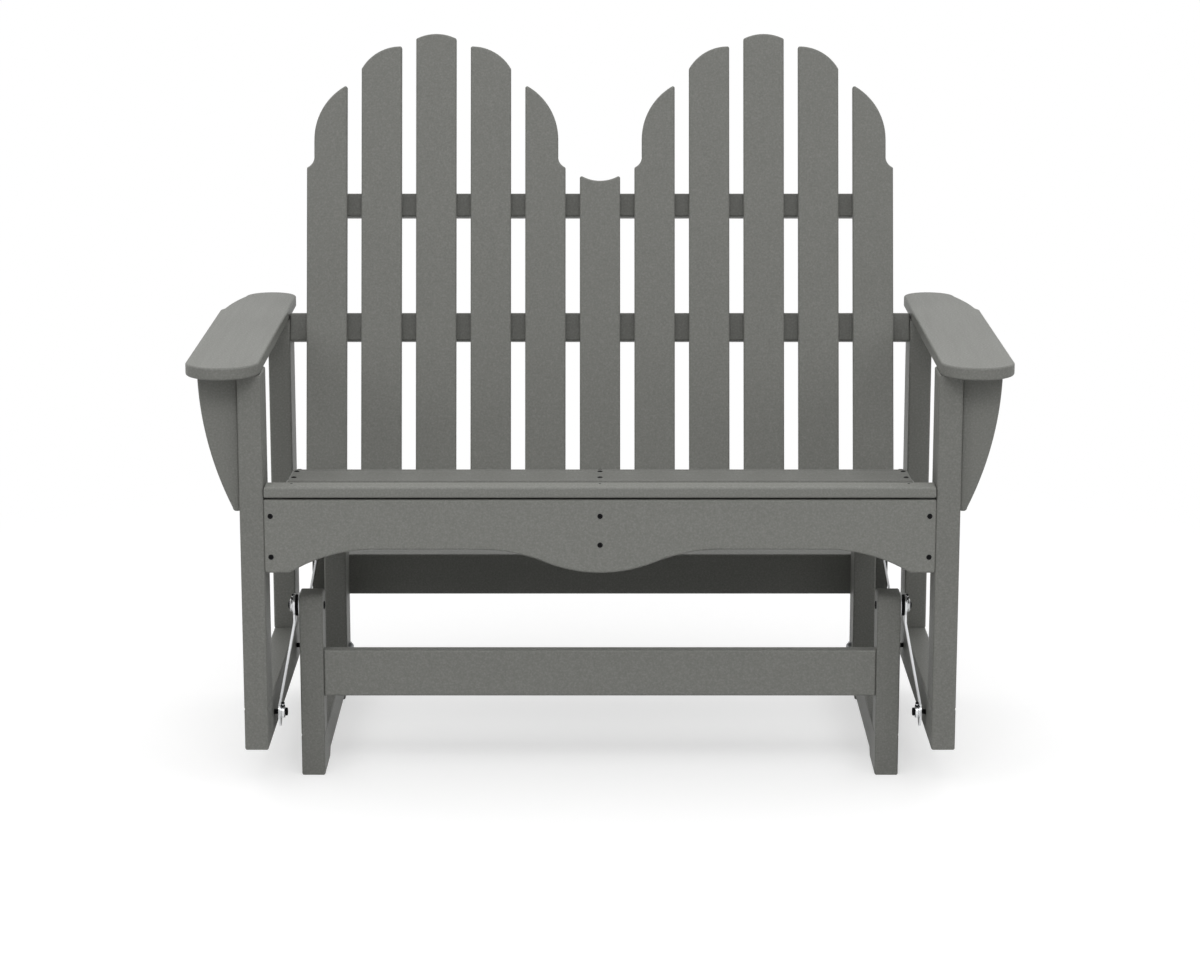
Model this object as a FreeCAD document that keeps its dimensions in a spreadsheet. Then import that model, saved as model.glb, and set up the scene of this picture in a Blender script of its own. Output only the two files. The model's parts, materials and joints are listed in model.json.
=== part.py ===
import FreeCAD, Part
import math
import os

import Sketcher

# A two-seat glider bench of plastic lumber. X goes to the viewer's right, Y goes back, Z up.
# The origin is on the floor, midway between the arms' front tips and their tails.
# Depths in the sheet are measured back from the front faces of the seat's front legs.

SIZES = [
    ("lumber", 35, "thickness of the planks"),
    ("slat_thick", 16, "thickness of the seat and back slats"),
    ("edge_round", 3, "rounding of the lumber's edges"),
    ("half_width", 523, "middle to the outer face of a leg"),
    ("seat_depth", 534, "front legs' front to rear legs' back"),
    ("leg_depth", 72, "a leg, front to back"),
    ("seat_runner_low", 60, "floor to the seat runners"),
    ("runner_high", 62, "height of every runner"),
    ("arm_under", 621, "floor to the arms' underside"),
    ("arm_thick", 18, "thickness of an arm"),
    ("arm_width", 107, "width of an arm"),
    ("arm_inset", 2, "arm's inner edge outside the leg's inner face"),
    ("arm_reach", 40, "arm's tip in front of the legs"),
    ("arm_tail", 102, "arm's tail behind the rear legs"),
    ("arm_tail_width", 81, "width of the arm's rounded tail"),
    ("arm_notch_front", 465, "depth of the small step in the arm's outer edge"),
    ("arm_notch_long", 13, "length of that step"),
    ("arm_notch_in", 5, "inward jump of that step"),
    ("arm_flank_radius", 600, "curve from the step to the tail"),
    ("bracket_high", 203, "height of the bracket under the arm"),
    ("bracket_reach", 58, "bracket's top, out from the leg"),
    ("bracket_toe", 11, "bracket's foot, out from the leg"),
    ("bracket_bow", 490, "radius of the bracket's outer edge"),
    ("bracket_tip", 5, "radius of the bracket's lower corner"),
    ("bracket_front", 12, "depth of the bracket's front face"),
    ("apron_front", 8, "depth of the apron's front face"),
    ("apron_thick", 20, "thickness of the apron"),
    ("apron_low", 328.4, "floor to the apron's ends and middle"),
    ("apron_arch", 363, "floor to the top of the apron's arches"),
    ("apron_end", 36, "leg to where an arch starts"),
    ("apron_haunch", 122, "run of an arch's outer curve"),
    ("apron_flat_in", 175, "middle to the inner end of an arch's flat top"),
    ("apron_drop_radius", 210, "radius of the apron's middle drop"),
    ("seat_top", 459, "floor to the front of the seat"),
    ("nose_reach", 12, "nose slat in front of the legs"),
    ("nose_width", 36, "width of the nose slat"),
    ("nose_gap", 10, "gap behind the nose slat"),
    ("seat_slat_width", 84, "width of a seat slat"),
    ("seat_gap", 7, "gap between seat slats"),
    ("slat_end_gap", 1, "seat slat's end to the leg"),
    ("front_tilt", 2, "tilt of the first wide slat, degrees"),
    ("seat_tilt", 13.5, "tilt of the other wide slats, degrees"),
    ("cleat_wide", 22, "side stringer to leg"),
    ("stringer_nose", 345, "floor to the stringer's lower front corner"),
    ("stringer_low", 300, "floor to the stringer's level underside"),
    ("stringer_bend", 380, "depth where that underside starts"),
    ("stringer_rear", 332, "floor to the stringer's level top"),
    ("stringer_notch", 2, "stringer's notch in front of the back slats"),
    ("middle_stringer", 450, "depth of the middle stringer's rear end"),
    ("cleat_deep", 40, "front cleat, front to back"),
    ("cleat_rise", 2, "front cleat's foot above the apron's"),
    ("back_tilt", 13.7, "tilt of the back from upright, degrees"),
    ("back_depth", 450, "depth of the back's front face at its datum height"),
    ("back_datum", 617, "floor to the back's datum height"),
    ("back_slat_width", 63.4, "width of a back slat"),
    ("back_end_gap", 27.3, "outermost back slat to the line of the legs"),
    ("back_foot", 287, "datum down to the slats' lower ends"),
    ("shoulder_low", 248, "datum up to the outer slat's shoulder"),
    ("shoulder_high", 266.6, "datum up to the top of the shoulder's hollow"),
    ("shoulder_in", 11.5, "width of the shoulder's hollow"),
    ("shoulder_radius", 18, "radius of the shoulder's hollow"),
    ("flank_top", 292.6, "datum up to where the fan's side starts to curve"),
    ("fan_side_radius", 96.6, "radius of the fan's outer slat"),
    ("fan_second_low", 403.4, "datum up to the second slat's outer corner"),
    ("fan_second_high", 438.9, "datum up to the second slat's inner corner"),
    ("fan_second_radius", 70, "radius of the second slat's top"),
    ("fan_edge", 451, "datum up to the middle fan slat's corners"),
    ("fan_crown", 7.6, "rise of the middle fan slat's top"),
    ("dip_edge", 236.3, "datum up to the shared middle slat's corners"),
    ("dip_deep", 9.2, "hollow of the shared middle slat's top"),
    ("rail_high", 36.5, "height of the upper back rail"),
    ("upper_rail", 172, "datum up to the upper back rail"),
    ("upper_rail_short", 10.7, "upper rail's end inside the outermost slat's edge"),
    ("lower_rail_high", 44, "height of the lower back rail"),
    ("lower_rail", 24, "datum down to the lower back rail"),
    ("foot_rail_high", 40, "height of the rail behind the slats' feet"),
    ("foot_rail_deep", 48, "depth of that rail at its underside"),
    ("side_gap", 42, "base's outer face to the seat runner"),
    ("base_front", 68, "depth of the base's front"),
    ("front_post_deep", 52, "front post, front to back"),
    ("rear_post_deep", 72, "rear post, front to back"),
    ("rear_post_inset", 7, "rear post inboard of the runner"),
    ("post_above_pivot", 25, "pivot to the top of a post"),
    ("post_round", 15, "rounding of a post's top"),
    ("pivot_spread", 376, "front pivot to rear pivot"),
    ("base_tail", 90, "base runner behind the rear pivot"),
    ("foot_long", 90, "length of a foot of the base runner"),
    ("foot_high", 11, "height of a foot of the base runner"),
    ("link_long", 165, "pivot to pivot of a hanger link"),
    ("front_stretcher_low", 121.6, "floor to the front stretcher"),
    ("front_stretcher_high", 70.6, "height of the front stretcher"),
    ("front_stretcher_thick", 20, "thickness of the front stretcher"),
    ("front_stretcher_set", 4, "front stretcher behind the posts' front"),
    ("rear_stretcher_low", 166.5, "floor to the rear stretcher"),
    ("rear_stretcher_high", 65.9, "height of the rear stretcher"),
    ("rear_stretcher_thick", 40, "thickness of the rear stretcher"),
    ("rear_stretcher_out", 18, "rear stretcher's end beyond the base's outer face"),
    ("cap_nut_radius", 8, "radius of a domed cap nut"),
    ("cap_nut_height", 89, "floor to a domed cap nut"),
    ("bolt_radius", 5, "radius of a pivot bolt"),
    ("running", 0.05, "radial clearance of a bearing or strap on its bolt"),
    ("bolt_clear", 0.2, "radial clearance of a bolt in lumber"),
    ("play", 0.3, "side play of a hanger link"),
    ("upper_head_radius", 7, "radius of an upper bolt's head"),
    ("upper_head_high", 2.5, "height of an upper bolt's head"),
    ("lower_head_radius", 7.5, "radius of a lower bolt's head"),
    ("lower_head_high", 4.7, "height of a lower bolt's head"),
    ("washer_thick", 2, "thickness of the washer on a post"),
    ("spacer_radius", 15, "radius of a spacer"),
    ("upper_spacer", 4.7, "length of a front post's spacer"),
    ("lower_spacer", 6.9, "length of a lower spacer"),
    ("strap_thick", 3, "thickness of a hanger strap"),
    ("strap_width", 24, "width of a hanger strap"),
    ("eye_radius", 17, "radius of a hanger strap's eye"),
    ("joggle_top", 24, "upper pivot down to the strap's first bend"),
    ("joggle_foot", 13, "lower pivot up to the strap's second bend"),
    ("housing_radius", 13, "radius of a bearing housing"),
    ("upper_housing", 5.2, "length of an upper bearing housing"),
    ("lower_housing", 5.8, "length of a lower bearing housing"),
    ("nut_radius", 9, "corner radius of a pivot nut"),
    ("nut_thick", 7, "thickness of a pivot nut"),
    ("nut_room", 12, "radius of the recess that holds a nut"),
    ("recess_deep", 9, "depth of that recess"),
    ("screw_head", 3.5, "radius of a screw's head"),
    ("screw_head_high", 1.2, "height of a screw's head"),
    ("screw_radius", 2, "radius of a screw's shank"),
    ("screw_clear", 0.1, "radial clearance of a screw in lumber"),
    ("seat_screw_first", 22, "slat's front edge to its first screw"),
    ("seat_screw_pitch", 40, "first screw to second screw"),
    ("nose_screw", 29, "nose slat's front edge to its screw"),
    ("apron_screw_in", 9.5, "leg to the apron's end screws"),
    ("apron_screw_high", 411, "floor to the apron's upper screws"),
    ("apron_screw_end", 350, "floor to the apron's lower end screws"),
    ("apron_screw_mid", 368, "floor to the apron's lower middle screw"),
]

doc = FreeCAD.newDocument("glider_bench")
sheet = doc.addObject("Spreadsheet::Sheet", "Sizes")
for row, (alias, number, meaning) in enumerate(SIZES, 1):
    sheet.set(f"A{row}", alias)
    sheet.set(f"B{row}", str(number))
    sheet.setAlias(f"B{row}", alias)
    sheet.set(f"C{row}", meaning)
doc.recompute()


class Size:
    """A length or an angle: its number, and the expression that ties it to the sheet."""

    def __init__(self, value, text):
        self.value = float(value)
        self.text = text

    def __add__(self, other):
        other = as_size(other)
        return Size(self.value + other.value, f"({self.text} + {other.text})")

    def __sub__(self, other):
        other = as_size(other)
        return Size(self.value - other.value, f"({self.text} - {other.text})")

    def __mul__(self, other):
        other = as_size(other)
        return Size(self.value * other.value, f"({self.text} * {other.text})")

    def __truediv__(self, other):
        other = as_size(other)
        return Size(self.value / other.value, f"({self.text} / {other.text})")

    def __radd__(self, other):
        return as_size(other) + self

    def __rsub__(self, other):
        return as_size(other) - self

    def __rmul__(self, other):
        return as_size(other) * self

    def __neg__(self):
        return as_size(0) - self


def as_size(number):
    """Gives a plain number the same form as a size from the sheet."""
    if isinstance(number, Size):
        return number
    return Size(number, f"({number})" if number < 0 else f"{number}")


def root(size):
    return Size(math.sqrt(size.value), f"sqrt({size.text})")


def sine(angle):
    return Size(math.sin(math.radians(angle.value)), f"sin({angle.text})")


def cosine(angle):
    return Size(math.cos(math.radians(angle.value)), f"cos({angle.text})")


def tangent(angle):
    return Size(math.tan(math.radians(angle.value)), f"tan({angle.text})")


FLAT = 0.001

size = {alias: Size(sheet.get(alias), f"Sizes.{alias}") for alias, number, meaning in SIZES}
nodes = []


def place(piece, x, y, z, lean=None):
    """Puts a piece at x and z, and at a depth y behind the front legs' front faces.

    A lean tips the piece back about the X axis.
    """
    corner = (as_size(x), as_size(y) - middle_depth, as_size(z))
    turn = FreeCAD.Rotation()
    if lean is not None:
        turn = FreeCAD.Rotation(FreeCAD.Vector(-1, 0, 0), lean.value)
    piece.Placement = FreeCAD.Placement(FreeCAD.Vector(*[part.value for part in corner]), turn)
    for axis, part in zip("xyz", corner):
        piece.setExpression(f".Placement.Base.{axis}", part.text)
    if lean is not None:
        piece.setExpression(".Placement.Rotation.Angle", lean.text)


def keep(piece, name):
    """Counts an object as a finished piece of the bench."""
    piece.Label = name
    nodes.append(piece)
    return piece


def new_body(name):
    return keep(doc.addObject("PartDesign::Body", f"{name}_body"), name)


def arc_between(start, end, radius):
    """The minor arc between two points, anticlockwise for a positive radius."""
    chord = end - start
    half = chord.Length / 2
    left = FreeCAD.Vector(-chord.y, chord.x, 0).normalize()
    rise = math.sqrt(max(radius * radius - half * half, 0))
    side = 1 if radius > 0 else -1
    centre = (start + end) / 2 + left * rise * side
    first, last = (start, end) if side > 0 else (end, start)
    circle = Part.Circle(centre, FreeCAD.Vector(0, 0, 1), abs(radius))
    angles = [math.atan2(point.y - centre.y, point.x - centre.x) for point in (first, last)]
    return Part.ArcOfCircle(circle, angles[0], angles[1])


def pin(sketch, item, position, x, y):
    """Holds one point of a sketch at x and y from the sketch's origin."""
    for kind, part in (("DistanceX", x), ("DistanceY", y)):
        number = sketch.addConstraint(Sketcher.Constraint(kind, -1, 1, item, position, part.value))
        sketch.setExpression(f"Constraints[{number}]", part.text)


def draw_outline(sketch, corners):
    """Draws a closed outline through corners (x, y) or (x, y, radius of the arc that ends there)."""
    corners = [tuple(as_size(part) for part in corner) for corner in corners]
    points = [FreeCAD.Vector(corner[0].value, corner[1].value, 0) for corner in corners]
    starts = []
    ends = []
    arcs = []
    for number, corner in enumerate(corners):
        start, end = points[number - 1], points[number]
        if len(corner) == 2:
            item = sketch.addGeometry(Part.LineSegment(start, end))
            forward = True
        else:
            item = sketch.addGeometry(arc_between(start, end, corner[2].value))
            forward = corner[2].value > 0
            arcs.append((item, corner[2] if forward else -corner[2]))
        starts.append((item, 1 if forward else 2))
        ends.append((item, 2 if forward else 1))
    for number in range(len(corners)):
        following = starts[(number + 1) % len(corners)]
        sketch.addConstraint(Sketcher.Constraint("Coincident", *ends[number], *following))
    for end, corner in zip(ends, corners):
        pin(sketch, *end, corner[0], corner[1])
    for item, radius in arcs:
        number = sketch.addConstraint(Sketcher.Constraint("Radius", item, radius.value))
        sketch.setExpression(f"Constraints[{number}]", radius.text)


def draw_circle(sketch, x, y, radius):
    x, y, radius = as_size(x), as_size(y), as_size(radius)
    up = FreeCAD.Vector(0, 0, 1)
    centre = FreeCAD.Vector(x.value, y.value, 0)
    item = sketch.addGeometry(Part.Circle(centre, up, radius.value))
    pin(sketch, item, 3, x, y)
    number = sketch.addConstraint(Sketcher.Constraint("Radius", item, radius.value))
    sketch.setExpression(f"Constraints[{number}]", radius.text)


def new_sketch(body, plane, outline=(), holes=(), offset=None):
    """A sketch on one of the body's own planes: one outline and any round holes."""
    sketch = body.newObject("Sketcher::SketchObject", f"{body.Label}_sketch")
    origin_plane = [part for part in body.Origin.OriginFeatures if part.Role == plane][0]
    sketch.AttachmentSupport = [(origin_plane, "")]
    sketch.MapMode = "FlatFace"
    if offset is not None:
        sketch.AttachmentOffset = FreeCAD.Placement(
            FreeCAD.Vector(0, 0, offset.value), FreeCAD.Rotation()
        )
        sketch.setExpression(".AttachmentOffset.Base.z", offset.text)
    if outline:
        draw_outline(sketch, outline)
    for hole in holes:
        draw_circle(sketch, *hole)
    return sketch


def pad(body, sketch, length, reverse=False):
    feature = body.newObject("PartDesign::Pad", f"{body.Label}_pad")
    feature.Profile = sketch
    feature.Length = length.value
    feature.setExpression("Length", length.text)
    feature.Reversed = reverse
    return feature


def cut_in(body, sketch, depth=None, reverse=False):
    """Pockets a sketch into a body, to a depth or right through."""
    doc.recompute()
    before = body.Shape.Volume
    feature = body.newObject("PartDesign::Pocket", f"{body.Label}_pocket")
    feature.Profile = sketch
    if depth is None:
        feature.Type = "ThroughAll"
    else:
        feature.Length = depth.value
        feature.setExpression("Length", depth.text)
    feature.Reversed = reverse
    doc.recompute()
    if body.Shape.Volume >= before:
        raise ValueError(f"{body.Label}: a pocket cuts nothing")
    return feature


def soften(body, corners=False):
    """Rounds the edges of a board's two broad faces, and on a shaped board its corners too.

    The rims of its holes stay sharp.
    """
    doc.recompute()
    base = body.Tip
    box = base.Shape.BoundBox
    spans = [box.XLength, box.YLength, box.ZLength]
    across = spans.index(min(spans))
    edges = []
    for number, edge in enumerate(base.Shape.Edges, 1):
        span = [edge.BoundBox.XLength, edge.BoundBox.YLength, edge.BoundBox.ZLength][across]
        if not edge.isClosed() and (corners or span < FLAT):
            edges.append(f"Edge{number}")
    feature = body.newObject("PartDesign::Fillet", f"{body.Label}_edges")
    feature.Base = (base, edges)
    feature.Radius = size["edge_round"].value
    feature.setExpression("Radius", size["edge_round"].text)
    return feature


def rectangle(x_low, y_low, x_high, y_high):
    return [(x_low, y_low), (x_high, y_low), (x_high, y_high), (x_low, y_high)]


def side_board(name, side, inner, thick, y, z, outline, holes=()):
    """A board that stands along Y and Z, its outline drawn on that plane.

    Its inner face is at the distance inner from the middle, on the given side.
    """
    body = new_body(name)
    pad(body, new_sketch(body, "YZ_Plane", outline, holes), thick)
    left_face = inner if side > 0 else -(inner + thick)
    place(body, left_face, y, z)
    return body


def face_board(name, x, y, z, thick, outline, holes=(), lean=None):
    """A board that faces the front, its outline drawn on the XZ plane, its thickness going back."""
    body = new_body(name)
    pad(body, new_sketch(body, "XZ_Plane", outline, holes), thick, reverse=True)
    place(body, x, y, z, lean)
    return body


def mirrored(corners, side):
    """An outline drawn for the right side, turned over for the left one."""
    flipped = []
    for corner in corners:
        corner = [as_size(part) for part in corner]
        corner[0] = corner[0] * side
        if len(corner) == 3:
            corner[2] = corner[2] if side > 0 else -corner[2]
        flipped.append(tuple(corner))
    return flipped


def around_x(shape, x, y, z, side=1):
    """Turns a round part to lie along X, pointing away from the middle on the given side."""
    shape.Placement = FreeCAD.Placement(
        FreeCAD.Vector(), FreeCAD.Rotation(FreeCAD.Vector(0, 1, 0), 90 * side)
    )
    corner = (as_size(x) * side, as_size(y) - middle_depth, as_size(z))
    shape.Placement.Base = FreeCAD.Vector(*[part.value for part in corner])
    for axis, part in zip("xyz", corner):
        shape.setExpression(f".Placement.Base.{axis}", part.text)
    return shape


def cylinder(radius, length):
    shape = doc.addObject("Part::Cylinder", "cylinder")
    for name, part in (("Radius", as_size(radius)), ("Height", as_size(length))):
        setattr(shape, name, part.value)
        shape.setExpression(name, part.text)
    return shape


def cut(base, tool):
    shape = doc.addObject("Part::Cut", "cut")
    shape.Base = base
    shape.Tool = tool
    return shape


def fuse(*parts):
    shape = doc.addObject("Part::MultiFuse", "fuse")
    shape.Shapes = list(parts)
    return shape


def group(name, members):
    """Several separate solids that share one node."""
    shape = doc.addObject("Part::Compound", f"{name}_group")
    shape.Links = members
    return keep(shape, name)


def ring(side, start, length, radius, bore, y, z):
    """A ring about X: it starts at the distance start from the middle and goes outwards."""
    outer = around_x(cylinder(radius, length), start, y, z, side)
    inner = around_x(cylinder(bore, length), start, y, z, side)
    return cut(outer, inner)


def bolt(side, head_face, head_radius, head_high, tip, y, z, outward):
    """A bolt about X: its head's inner face at head_face, its tip at tip from the middle."""
    if outward:
        head_start, shank_start, shank_end = head_face - head_high, head_face, tip
    else:
        head_start, shank_start, shank_end = head_face, tip, head_face
    head = around_x(cylinder(head_radius, head_high), head_start, y, z, side)
    shank = around_x(cylinder(size["bolt_radius"], shank_end - shank_start), shank_start, y, z, side)
    return fuse(head, shank)


def hex_nut(side, start, y, z):
    """A six-sided nut about X, with a hole for its bolt."""
    prism = doc.addObject("Part::Prism", "prism")
    prism.Polygon = 6
    for name, part in (("Circumradius", size["nut_radius"]), ("Height", size["nut_thick"])):
        setattr(prism, name, part.value)
        prism.setExpression(name, part.text)
    around_x(prism, start, y, z, side)
    hole = around_x(cylinder(bore_radius, size["nut_thick"]), start, y, z, side)
    return cut(prism, hole)


SIDES = ((-1, "left"), (1, "right"))

# Places that several pieces share
middle_depth = (size["seat_depth"] + size["arm_tail"] - size["arm_reach"]) / 2
leg_inner = size["half_width"] - size["lumber"]
rear_leg_front = size["seat_depth"] - size["leg_depth"]
seat_runner_top = size["seat_runner_low"] + size["runner_high"]
front_pivot = size["base_front"] + size["front_post_deep"] / 2
rear_pivot = front_pivot + size["pivot_spread"]
lower_pivot = size["seat_runner_low"] + size["runner_high"] / 2
upper_pivot = lower_pivot + size["link_long"]
post_top = upper_pivot + size["post_above_pivot"]
bore_radius = size["bolt_radius"] + size["running"]
bolt_hole = size["bolt_radius"] + size["bolt_clear"]
screw_hole = size["screw_radius"] + size["screw_clear"]
slat_under = size["seat_top"] - size["slat_thick"]
stringer_out = leg_inner - size["cleat_wide"]
stringer_in = stringer_out - size["lumber"]
back_pitch = (leg_inner - size["back_end_gap"] - size["back_slat_width"] / 2) / 5
base_half = leg_inner - size["side_gap"]
apron_foot = leg_inner - size["apron_end"]
apron_flat_out = apron_foot - size["apron_haunch"]


def make_seat_runner(side, name):
    """A runner with a hole for each lower pivot bolt and a recess for its nut."""
    outline = rectangle(0, 0, size["seat_depth"], size["runner_high"])
    centres = [(front_pivot, size["runner_high"] / 2), (rear_pivot, size["runner_high"] / 2)]
    holes = [(*centre, bolt_hole) for centre in centres]
    recesses = [(*centre, size["nut_room"]) for centre in centres]
    body = side_board(
        f"seat_runner_{name}", side, leg_inner, size["lumber"], 0, size["seat_runner_low"], outline, holes
    )
    soften(body)
    outer_face = size["lumber"] if side > 0 else as_size(0)
    sketch = new_sketch(body, "YZ_Plane", holes=recesses, offset=outer_face)
    cut_in(body, sketch, size["recess_deep"], reverse=side < 0)


def make_legs(side, name):
    outline = rectangle(0, 0, size["leg_depth"], size["arm_under"] - seat_runner_top)
    for place_name, y in (("front", as_size(0)), ("rear", rear_leg_front)):
        leg = f"{place_name}_leg_{name}"
        soften(side_board(leg, side, leg_inner, size["lumber"], y, seat_runner_top, outline))


def make_arm(side, name):
    """An arm with a half-round tip, a small step, a bowed flank and a rounded tail."""
    inner = leg_inner + size["arm_inset"]
    outer = inner + size["arm_width"]
    tip_radius = size["arm_width"] / 2
    tip_depth = tip_radius - size["arm_reach"]
    tail_radius = size["arm_tail_width"] / 2
    tail_tip = size["seat_depth"] + size["arm_tail"]
    tail_depth = tail_tip - tail_radius
    notch_end = size["arm_notch_front"] + size["arm_notch_long"]
    outline = [
        (inner, tip_depth),
        (inner + tip_radius, -size["arm_reach"], tip_radius),
        (outer, tip_depth, tip_radius),
        (outer, size["arm_notch_front"]),
        (outer - size["arm_notch_in"], notch_end),
        (inner + size["arm_tail_width"], tail_depth, size["arm_flank_radius"]),
        (inner + tail_radius, tail_tip, tail_radius),
        (inner, tail_depth, tail_radius),
    ]
    body = new_body(f"arm_{name}")
    pad(body, new_sketch(body, "XY_Plane", mirrored(outline, side)), size["arm_thick"])
    soften(body, corners=True)
    place(body, 0, 0, size["arm_under"])


def make_arm_bracket(side, name):
    """A bowed bracket under the arm, against the front leg's outer face."""
    toe = size["bracket_toe"]
    tip = size["bracket_tip"]
    outline = [
        (0, 0),
        (toe - tip, 0),
        (toe, tip, tip),
        (size["bracket_reach"], size["bracket_high"], size["bracket_bow"]),
        (0, size["bracket_high"]),
    ]
    body = face_board(
        f"arm_bracket_{name}",
        size["half_width"] * side,
        size["bracket_front"],
        size["arm_under"] - size["bracket_high"],
        size["lumber"],
        mirrored(outline, side),
    )
    soften(body, corners=True)


def make_apron():
    """The front apron: two long arches, and a drop between them that two tangent arcs make."""
    rise = size["apron_arch"] - size["apron_low"]
    high = slat_under - size["apron_low"]
    flat_in = size["apron_flat_in"]
    drop = size["apron_drop_radius"]
    shoulder = (flat_in * flat_in + rise * rise) / (2 * rise) - drop
    share = drop / (drop + shoulder)
    run_out = size["apron_haunch"]
    haunch = (run_out * run_out + rise * rise) / (2 * rise)
    right = [
        (flat_in * share, rise * share, drop),
        (flat_in, rise, -shoulder),
        (apron_flat_out, rise),
        (apron_foot, 0, -haunch),
        (leg_inner, 0),
        (leg_inner, high),
    ]
    left = [
        (-leg_inner, high),
        (-leg_inner, 0),
        (-apron_foot, 0),
        (-apron_flat_out, rise, -haunch),
        (-flat_in, rise),
        (-flat_in * share, rise * share, -shoulder),
    ]
    holes = [
        (x, z - size["apron_low"], screw_hole) for x, z in apron_screw_places()
    ]
    body = face_board(
        "front_apron", 0, size["apron_front"], size["apron_low"], size["apron_thick"], right + left, holes
    )
    soften(body, corners=True)


def apron_screw_places():
    out = leg_inner - size["apron_screw_in"]
    upper = size["apron_screw_high"]
    return [
        (-out, upper),
        (-out, size["apron_screw_end"]),
        (as_size(0), upper),
        (as_size(0), size["apron_screw_mid"]),
        (out, upper),
        (out, size["apron_screw_end"]),
    ]


def seat_slat_plan():
    """Where each seat slat starts: its name, top front edge, width, tilt and screw rows."""
    plan = [("seat_slat_1", -size["nose_reach"], size["seat_top"], size["nose_width"], None, 1)]
    y = size["nose_width"] - size["nose_reach"] + size["nose_gap"]
    z = size["seat_top"]
    step = size["seat_slat_width"] + size["seat_gap"]
    for number in range(2, 6):
        tilt = size["front_tilt"] if number == 2 else size["seat_tilt"]
        plan.append((f"seat_slat_{number}", y, z, size["seat_slat_width"], tilt, 2))
        y = y + step * cosine(tilt)
        z = z - step * sine(tilt)
    return plan


def make_seat_slats():
    """The seat's slats, stepping back and down, and the screws that hold them."""
    half = leg_inner - size["slat_end_gap"]
    screw_line = stringer_in + size["lumber"] / 2
    screws = []
    for name, y, z, width, tilt, rows in seat_slat_plan():
        first = size["nose_screw"] if rows == 1 else size["seat_screw_first"]
        spots = [
            (screw_line * side, first + size["seat_screw_pitch"] * row)
            for row in range(rows)
            for side in (-1, 0, 1)
        ]
        body = new_body(name)
        sketch = new_sketch(
            body, "XY_Plane", rectangle(-half, 0, half, width), [(*spot, screw_hole) for spot in spots]
        )
        pad(body, sketch, size["slat_thick"], reverse=True)
        soften(body)
        place(body, 0, y, z, tilt)
        members = [screw(x, along, size["slat_thick"]) for x, along in spots]
        cluster = doc.addObject("Part::Compound", f"{name}_screws")
        cluster.Links = members
        place(cluster, 0, y, z, tilt)
        screws.append(cluster)
    group("seat_screws", screws)


def screw(x, y, length):
    """A screw that stands along Z: a low round head on the surface, its shank below."""
    head = cylinder(size["screw_head"], size["screw_head_high"])
    shank = cylinder(size["screw_radius"], length)
    for part, z in ((head, as_size(0)), (shank, -as_size(length))):
        for axis, place_text in zip("xyz", (as_size(x), as_size(y), z)):
            setattr(part.Placement.Base, axis, place_text.value)
            part.setExpression(f".Placement.Base.{axis}", place_text.text)
    return fuse(head, shank)


def make_apron_screws():
    """The apron's screws, which stand out towards the front."""
    members = []
    for x, z in apron_screw_places():
        part = screw(0, 0, size["apron_thick"])
        turn = FreeCAD.Rotation(FreeCAD.Vector(1, 0, 0), 90)
        part.Placement = FreeCAD.Placement(FreeCAD.Vector(), turn)
        corner = (x, size["apron_front"] - middle_depth, z)
        for axis, place_text in zip("xyz", corner):
            part.setExpression(f".Placement.Base.{axis}", place_text.text)
        members.append(part)
    group("apron_screws", members)


def make_stringers():
    """Three stringers whose tops follow the undersides of the seat slats.

    A notch behind the seat lets the leaning back slats down past them.
    """
    plan = seat_slat_plan()
    front, tilted = plan[1], plan[2]
    front_slope, seat_slope = tangent(front[4]), tangent(tilted[4])
    front_base = front[2] - size["slat_thick"] / cosine(front[4]) + front[1] * front_slope
    seat_base = tilted[2] - size["slat_thick"] / cosine(tilted[4]) + tilted[1] * seat_slope
    bend = (seat_base - front_base) / (seat_slope - front_slope)
    start = size["apron_front"] + size["apron_thick"]
    rear_top = size["stringer_rear"]
    lean_slope = tangent(size["back_tilt"])
    notch_base = size["back_depth"] - size["stringer_notch"] - size["back_datum"] * lean_slope
    notch_top = (notch_base + seat_base * lean_slope) / (1 + seat_slope * lean_slope)

    def outline(end):
        return [
            (start, size["stringer_nose"]),
            (size["stringer_bend"], size["stringer_low"]),
            (end, size["stringer_low"]),
            (end, rear_top),
            (notch_base + rear_top * lean_slope, rear_top),
            (notch_top, seat_base - notch_top * seat_slope),
            (bend, seat_base - bend * seat_slope),
            (start, front_base - start * front_slope),
        ]

    for side, name in SIDES:
        body = side_board(
            f"seat_stringer_{name}", side, stringer_in, size["lumber"], 0, 0, outline(size["seat_depth"])
        )
        soften(body)
    middle = side_board(
        "seat_stringer_centre",
        1,
        -size["lumber"] / 2,
        size["lumber"],
        0,
        0,
        outline(size["middle_stringer"]),
    )
    soften(middle)


def block(side, x, y, z, wide, deep, high):
    """A plain block, its inner face at x from the middle."""
    shape = doc.addObject("Part::Box", "block")
    for name, part in (("Length", wide), ("Width", deep), ("Height", high)):
        setattr(shape, name, part.value)
        shape.setExpression(name, part.text)
    place(shape, x if side > 0 else -(x + wide), y, z)
    return shape


def make_cleats():
    """Blocks that join the apron and the stringers to the legs."""
    wide = leg_inner - stringer_out
    front_low = size["apron_low"] + size["cleat_rise"]
    rear_high = size["stringer_rear"] - size["stringer_low"]
    front_y = size["apron_front"] + size["apron_thick"]
    front_high = slat_under - size["cleat_rise"] - front_low
    front = [
        block(side, stringer_out, front_y, front_low, wide, size["cleat_deep"], front_high)
        for side, name in SIDES
    ]
    rear = [
        block(
            side, stringer_out, rear_leg_front, size["stringer_low"], wide, size["leg_depth"], rear_high
        )
        for side, name in SIDES
    ]
    group("front_cleats", front)
    group("rear_cleats", rear)


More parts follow.
